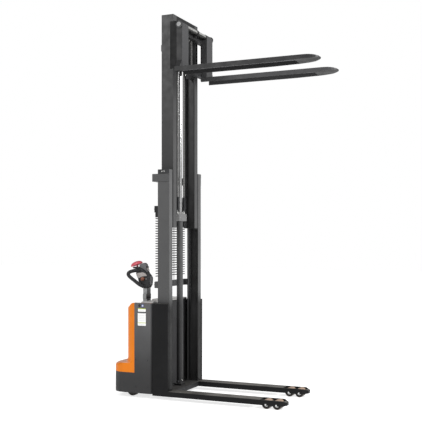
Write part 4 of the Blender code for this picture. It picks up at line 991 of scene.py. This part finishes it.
# ---- tiller ----
def build_tiller():
    # body of the head, with the lobe that carries the red button
    outline = [(-0.4450, 0.9865), (-0.3935, 0.9865), (-0.3760, 1.0150), (-0.3700, 1.0500),
               (-0.3700, 1.0850), (-0.3840, 1.1080), (-0.4010, 1.1260), (-0.4130, 1.1480),
               (-0.4300, 1.1620), (-0.4580, 1.1760), (-0.4800, 1.1895), (-0.5380, 1.1895),
               (-0.5500, 1.1820), (-0.5450, 1.1740), (-0.5080, 1.1700), (-0.4920, 1.1560),
               (-0.5050, 1.1450), (-0.5140, 1.1300), (-0.5060, 1.1050), (-0.4900, 1.0750),
               (-0.4860, 1.0550), (-0.4720, 1.0150)]
    shape = bmesh.new()
    add_prism(shape, from_mast(outline), "Y", -0.0440, 0.0440)
    shell = make("tiller_head_shell", shape, "black_plastic", "tiller")
    soften(shell, 0.004, 3)
    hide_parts("tiller_head")

    panel = [(-0.5105, 1.1330), (-0.4830, 1.1330), (-0.4280, 1.1370), (-0.4050, 1.1250),
             (-0.3920, 1.1060), (-0.4550, 1.0930), (-0.4870, 1.0800), (-0.5030, 1.1060)]
    shape = bmesh.new()
    for side in (-1, 1):
        add_prism(shape, from_mast(panel), "Y", side * 0.0435, side * 0.0462)
    soften(make("tiller_side_panels", shape, "light_plastic", "tiller"),
           0.0015)
    shape = bmesh.new()
    for side in (-1, 1):
        for x, z in ((-0.4010, 1.0760), (-0.4640, 1.0340)):
            add_lathe(shape, "Y", (MAST_X + x, z), mirrored(
                [(0, 0.0440), (0.0048, 0.0440), (0.0042, 0.0456), (0.0020, 0.0458),
                 (0, 0.0450)], side), 16)
    make("tiller_head_screws", shape, "zinc", "tiller")

    # grey hood over the top, and the small nib in front of it
    hood = [(-0.4860, 1.2040), (-0.4700, 1.2170), (-0.4360, 1.2290), (-0.4180, 1.2150),
            (-0.4110, 1.1940), (-0.4100, 1.1750), (-0.4040, 1.1460), (-0.4150, 1.1300),
            (-0.4360, 1.1550), (-0.4580, 1.1660), (-0.4840, 1.1880)]
    shape = bmesh.new()
    add_prism(shape, from_mast(hood), "Y", -0.0260, 0.0260)
    soften(make("tiller_hood", shape, "grey_plastic", "tiller"), 0.005, 3)
    shape = bmesh.new()
    nib = [(-0.4110, 1.1960), (-0.4020, 1.1890), (-0.4000, 1.1840), (-0.4110, 1.1800)]
    add_prism(shape, from_mast(nib), "Y", -0.0200, 0.0200)
    soften(make("tiller_nib", shape, "black_plastic", "tiller"), 0.0015)

    shape = bmesh.new()
    pad = [(0.0200, 1.0200), (0.0260, 1.0330), (0.0260, 1.0830), (0.0190, 1.1000),
           (-0.0190, 1.1000), (-0.0260, 1.0830), (-0.0260, 1.0330), (-0.0200, 1.0200)]
    add_prism(shape, pad, "X", MAST_X - 0.3760, MAST_X - 0.3680)
    soften(make("tiller_front_pad", shape, "grey_plastic", "tiller"), 0.003, 3)

    # side handles: closed bars swept back from the head
    for name, side in SIDES:
        points = [(-0.468, 0.034, 1.162), (-0.490, 0.056, 1.157), (-0.520, 0.088, 1.151),
                  (-0.547, 0.112, 1.138), (-0.5545, 0.116, 1.118), (-0.540, 0.108, 1.094),
                  (-0.5000, 0.090, 1.058), (-0.462, 0.068, 1.023), (-0.434, 0.050, 1.007),
                  (-0.412, 0.034, 1.005)]
        shape = bmesh.new()
        add_tube(shape, [at(x, side * y, z) for x, y, z in points], 0.0165, 16,
                 squeeze=(1.05, 0.95), smooth_steps=6)
        loop = make(f"tiller_handle_{name}", shape, "black_plastic", "tiller")
        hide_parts(f"handle_loop_{name}")

    # red button: a tilted oval dome on its stem
    shape = bmesh.new()
    tilt = Matrix.Rotation(math.radians(-19.5), 3, "Y")
    layers = ((0.0, 0.93), (0.004, 1.0), (0.010, 0.99), (0.019, 0.92), (0.027, 0.77),
              (0.033, 0.55), (0.036, 0.28))
    half_long, half_wide = 0.063, 0.044
    bridge(shape, [[shape.verts.new(at(-0.5240, 0, 1.2045)
                                    + tilt @ Vector((half_long * u, half_wide * v, height)))
                    for u, v in circle(0, 0, scale, 36)] for height, scale in layers])
    add_lathe(shape, "Z", (MAST_X - 0.520, 0.0),
              [(0, 1.1800), (0.0092, 1.1800), (0.0092, 1.2120), (0, 1.2120)], 20)
    dome = make("red_dome", shape, "red_plastic", "belly_button", sharp=60)
    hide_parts("belly_button")


# ---- undercarriage ----
def build_undercarriage():
    shape = bmesh.new()
    for side in (-1, 1):
        for x in (0.9355, 1.032):
            for y, out in ((0.2415, -1), (0.3725, 1)):
                add_lathe(shape, "Y", (MAST_X + x, 0.041), mirrored(
                    [(0, y), (0.0072, y), (0.0066, y + out * 0.0022), (0, y + out * 0.0024)],
                    side), 20)
    make("load_axle_caps", shape, "cap_plastic", "chassis")
    for name, side in SIDES:
        y = side * CASTER_Y
        shape = bmesh.new()
        for out in (-1, 1):
            add_bolt(shape, at(-0.415, y + out * 0.0342, 0.0575), (0, out, 0), 0.0085, nut=True)
        make(f"caster_axle_nuts_{name}", shape, "zinc", f"caster_{name}", sharp=25)
        shape = bmesh.new()
        add_lathe(shape, "Z", (MAST_X + CASTER_X, y),
                  [(0.0302, 0.1420), (0.0400, 0.1420), (0.0415, 0.1470), (0.0415, 0.1560),
                   (0.0390, 0.1600), (0.0302, 0.1600)], 32)
        make(f"caster_race_{name}", shape, "steel", f"caster_{name}")
    shape = bmesh.new()
    for side in (-1, 1):
        for dx in (-0.034, 0.034):
            for dy in (-0.034, 0.034):
                add_bolt(shape, at(CASTER_X + dx, side * CASTER_Y + dy, 0.1880), (0, 0, -1),
                         0.0060)
    make("caster_plate_bolts", shape, "zinc", "chassis", sharp=25)


make_materials()
build_studio()
dress_cad_nodes()
build_mast_details()
build_chains()
build_roller_seals()
build_carriage_details()
build_body_details()
build_wheels()
build_tiller()
build_undercarriage()
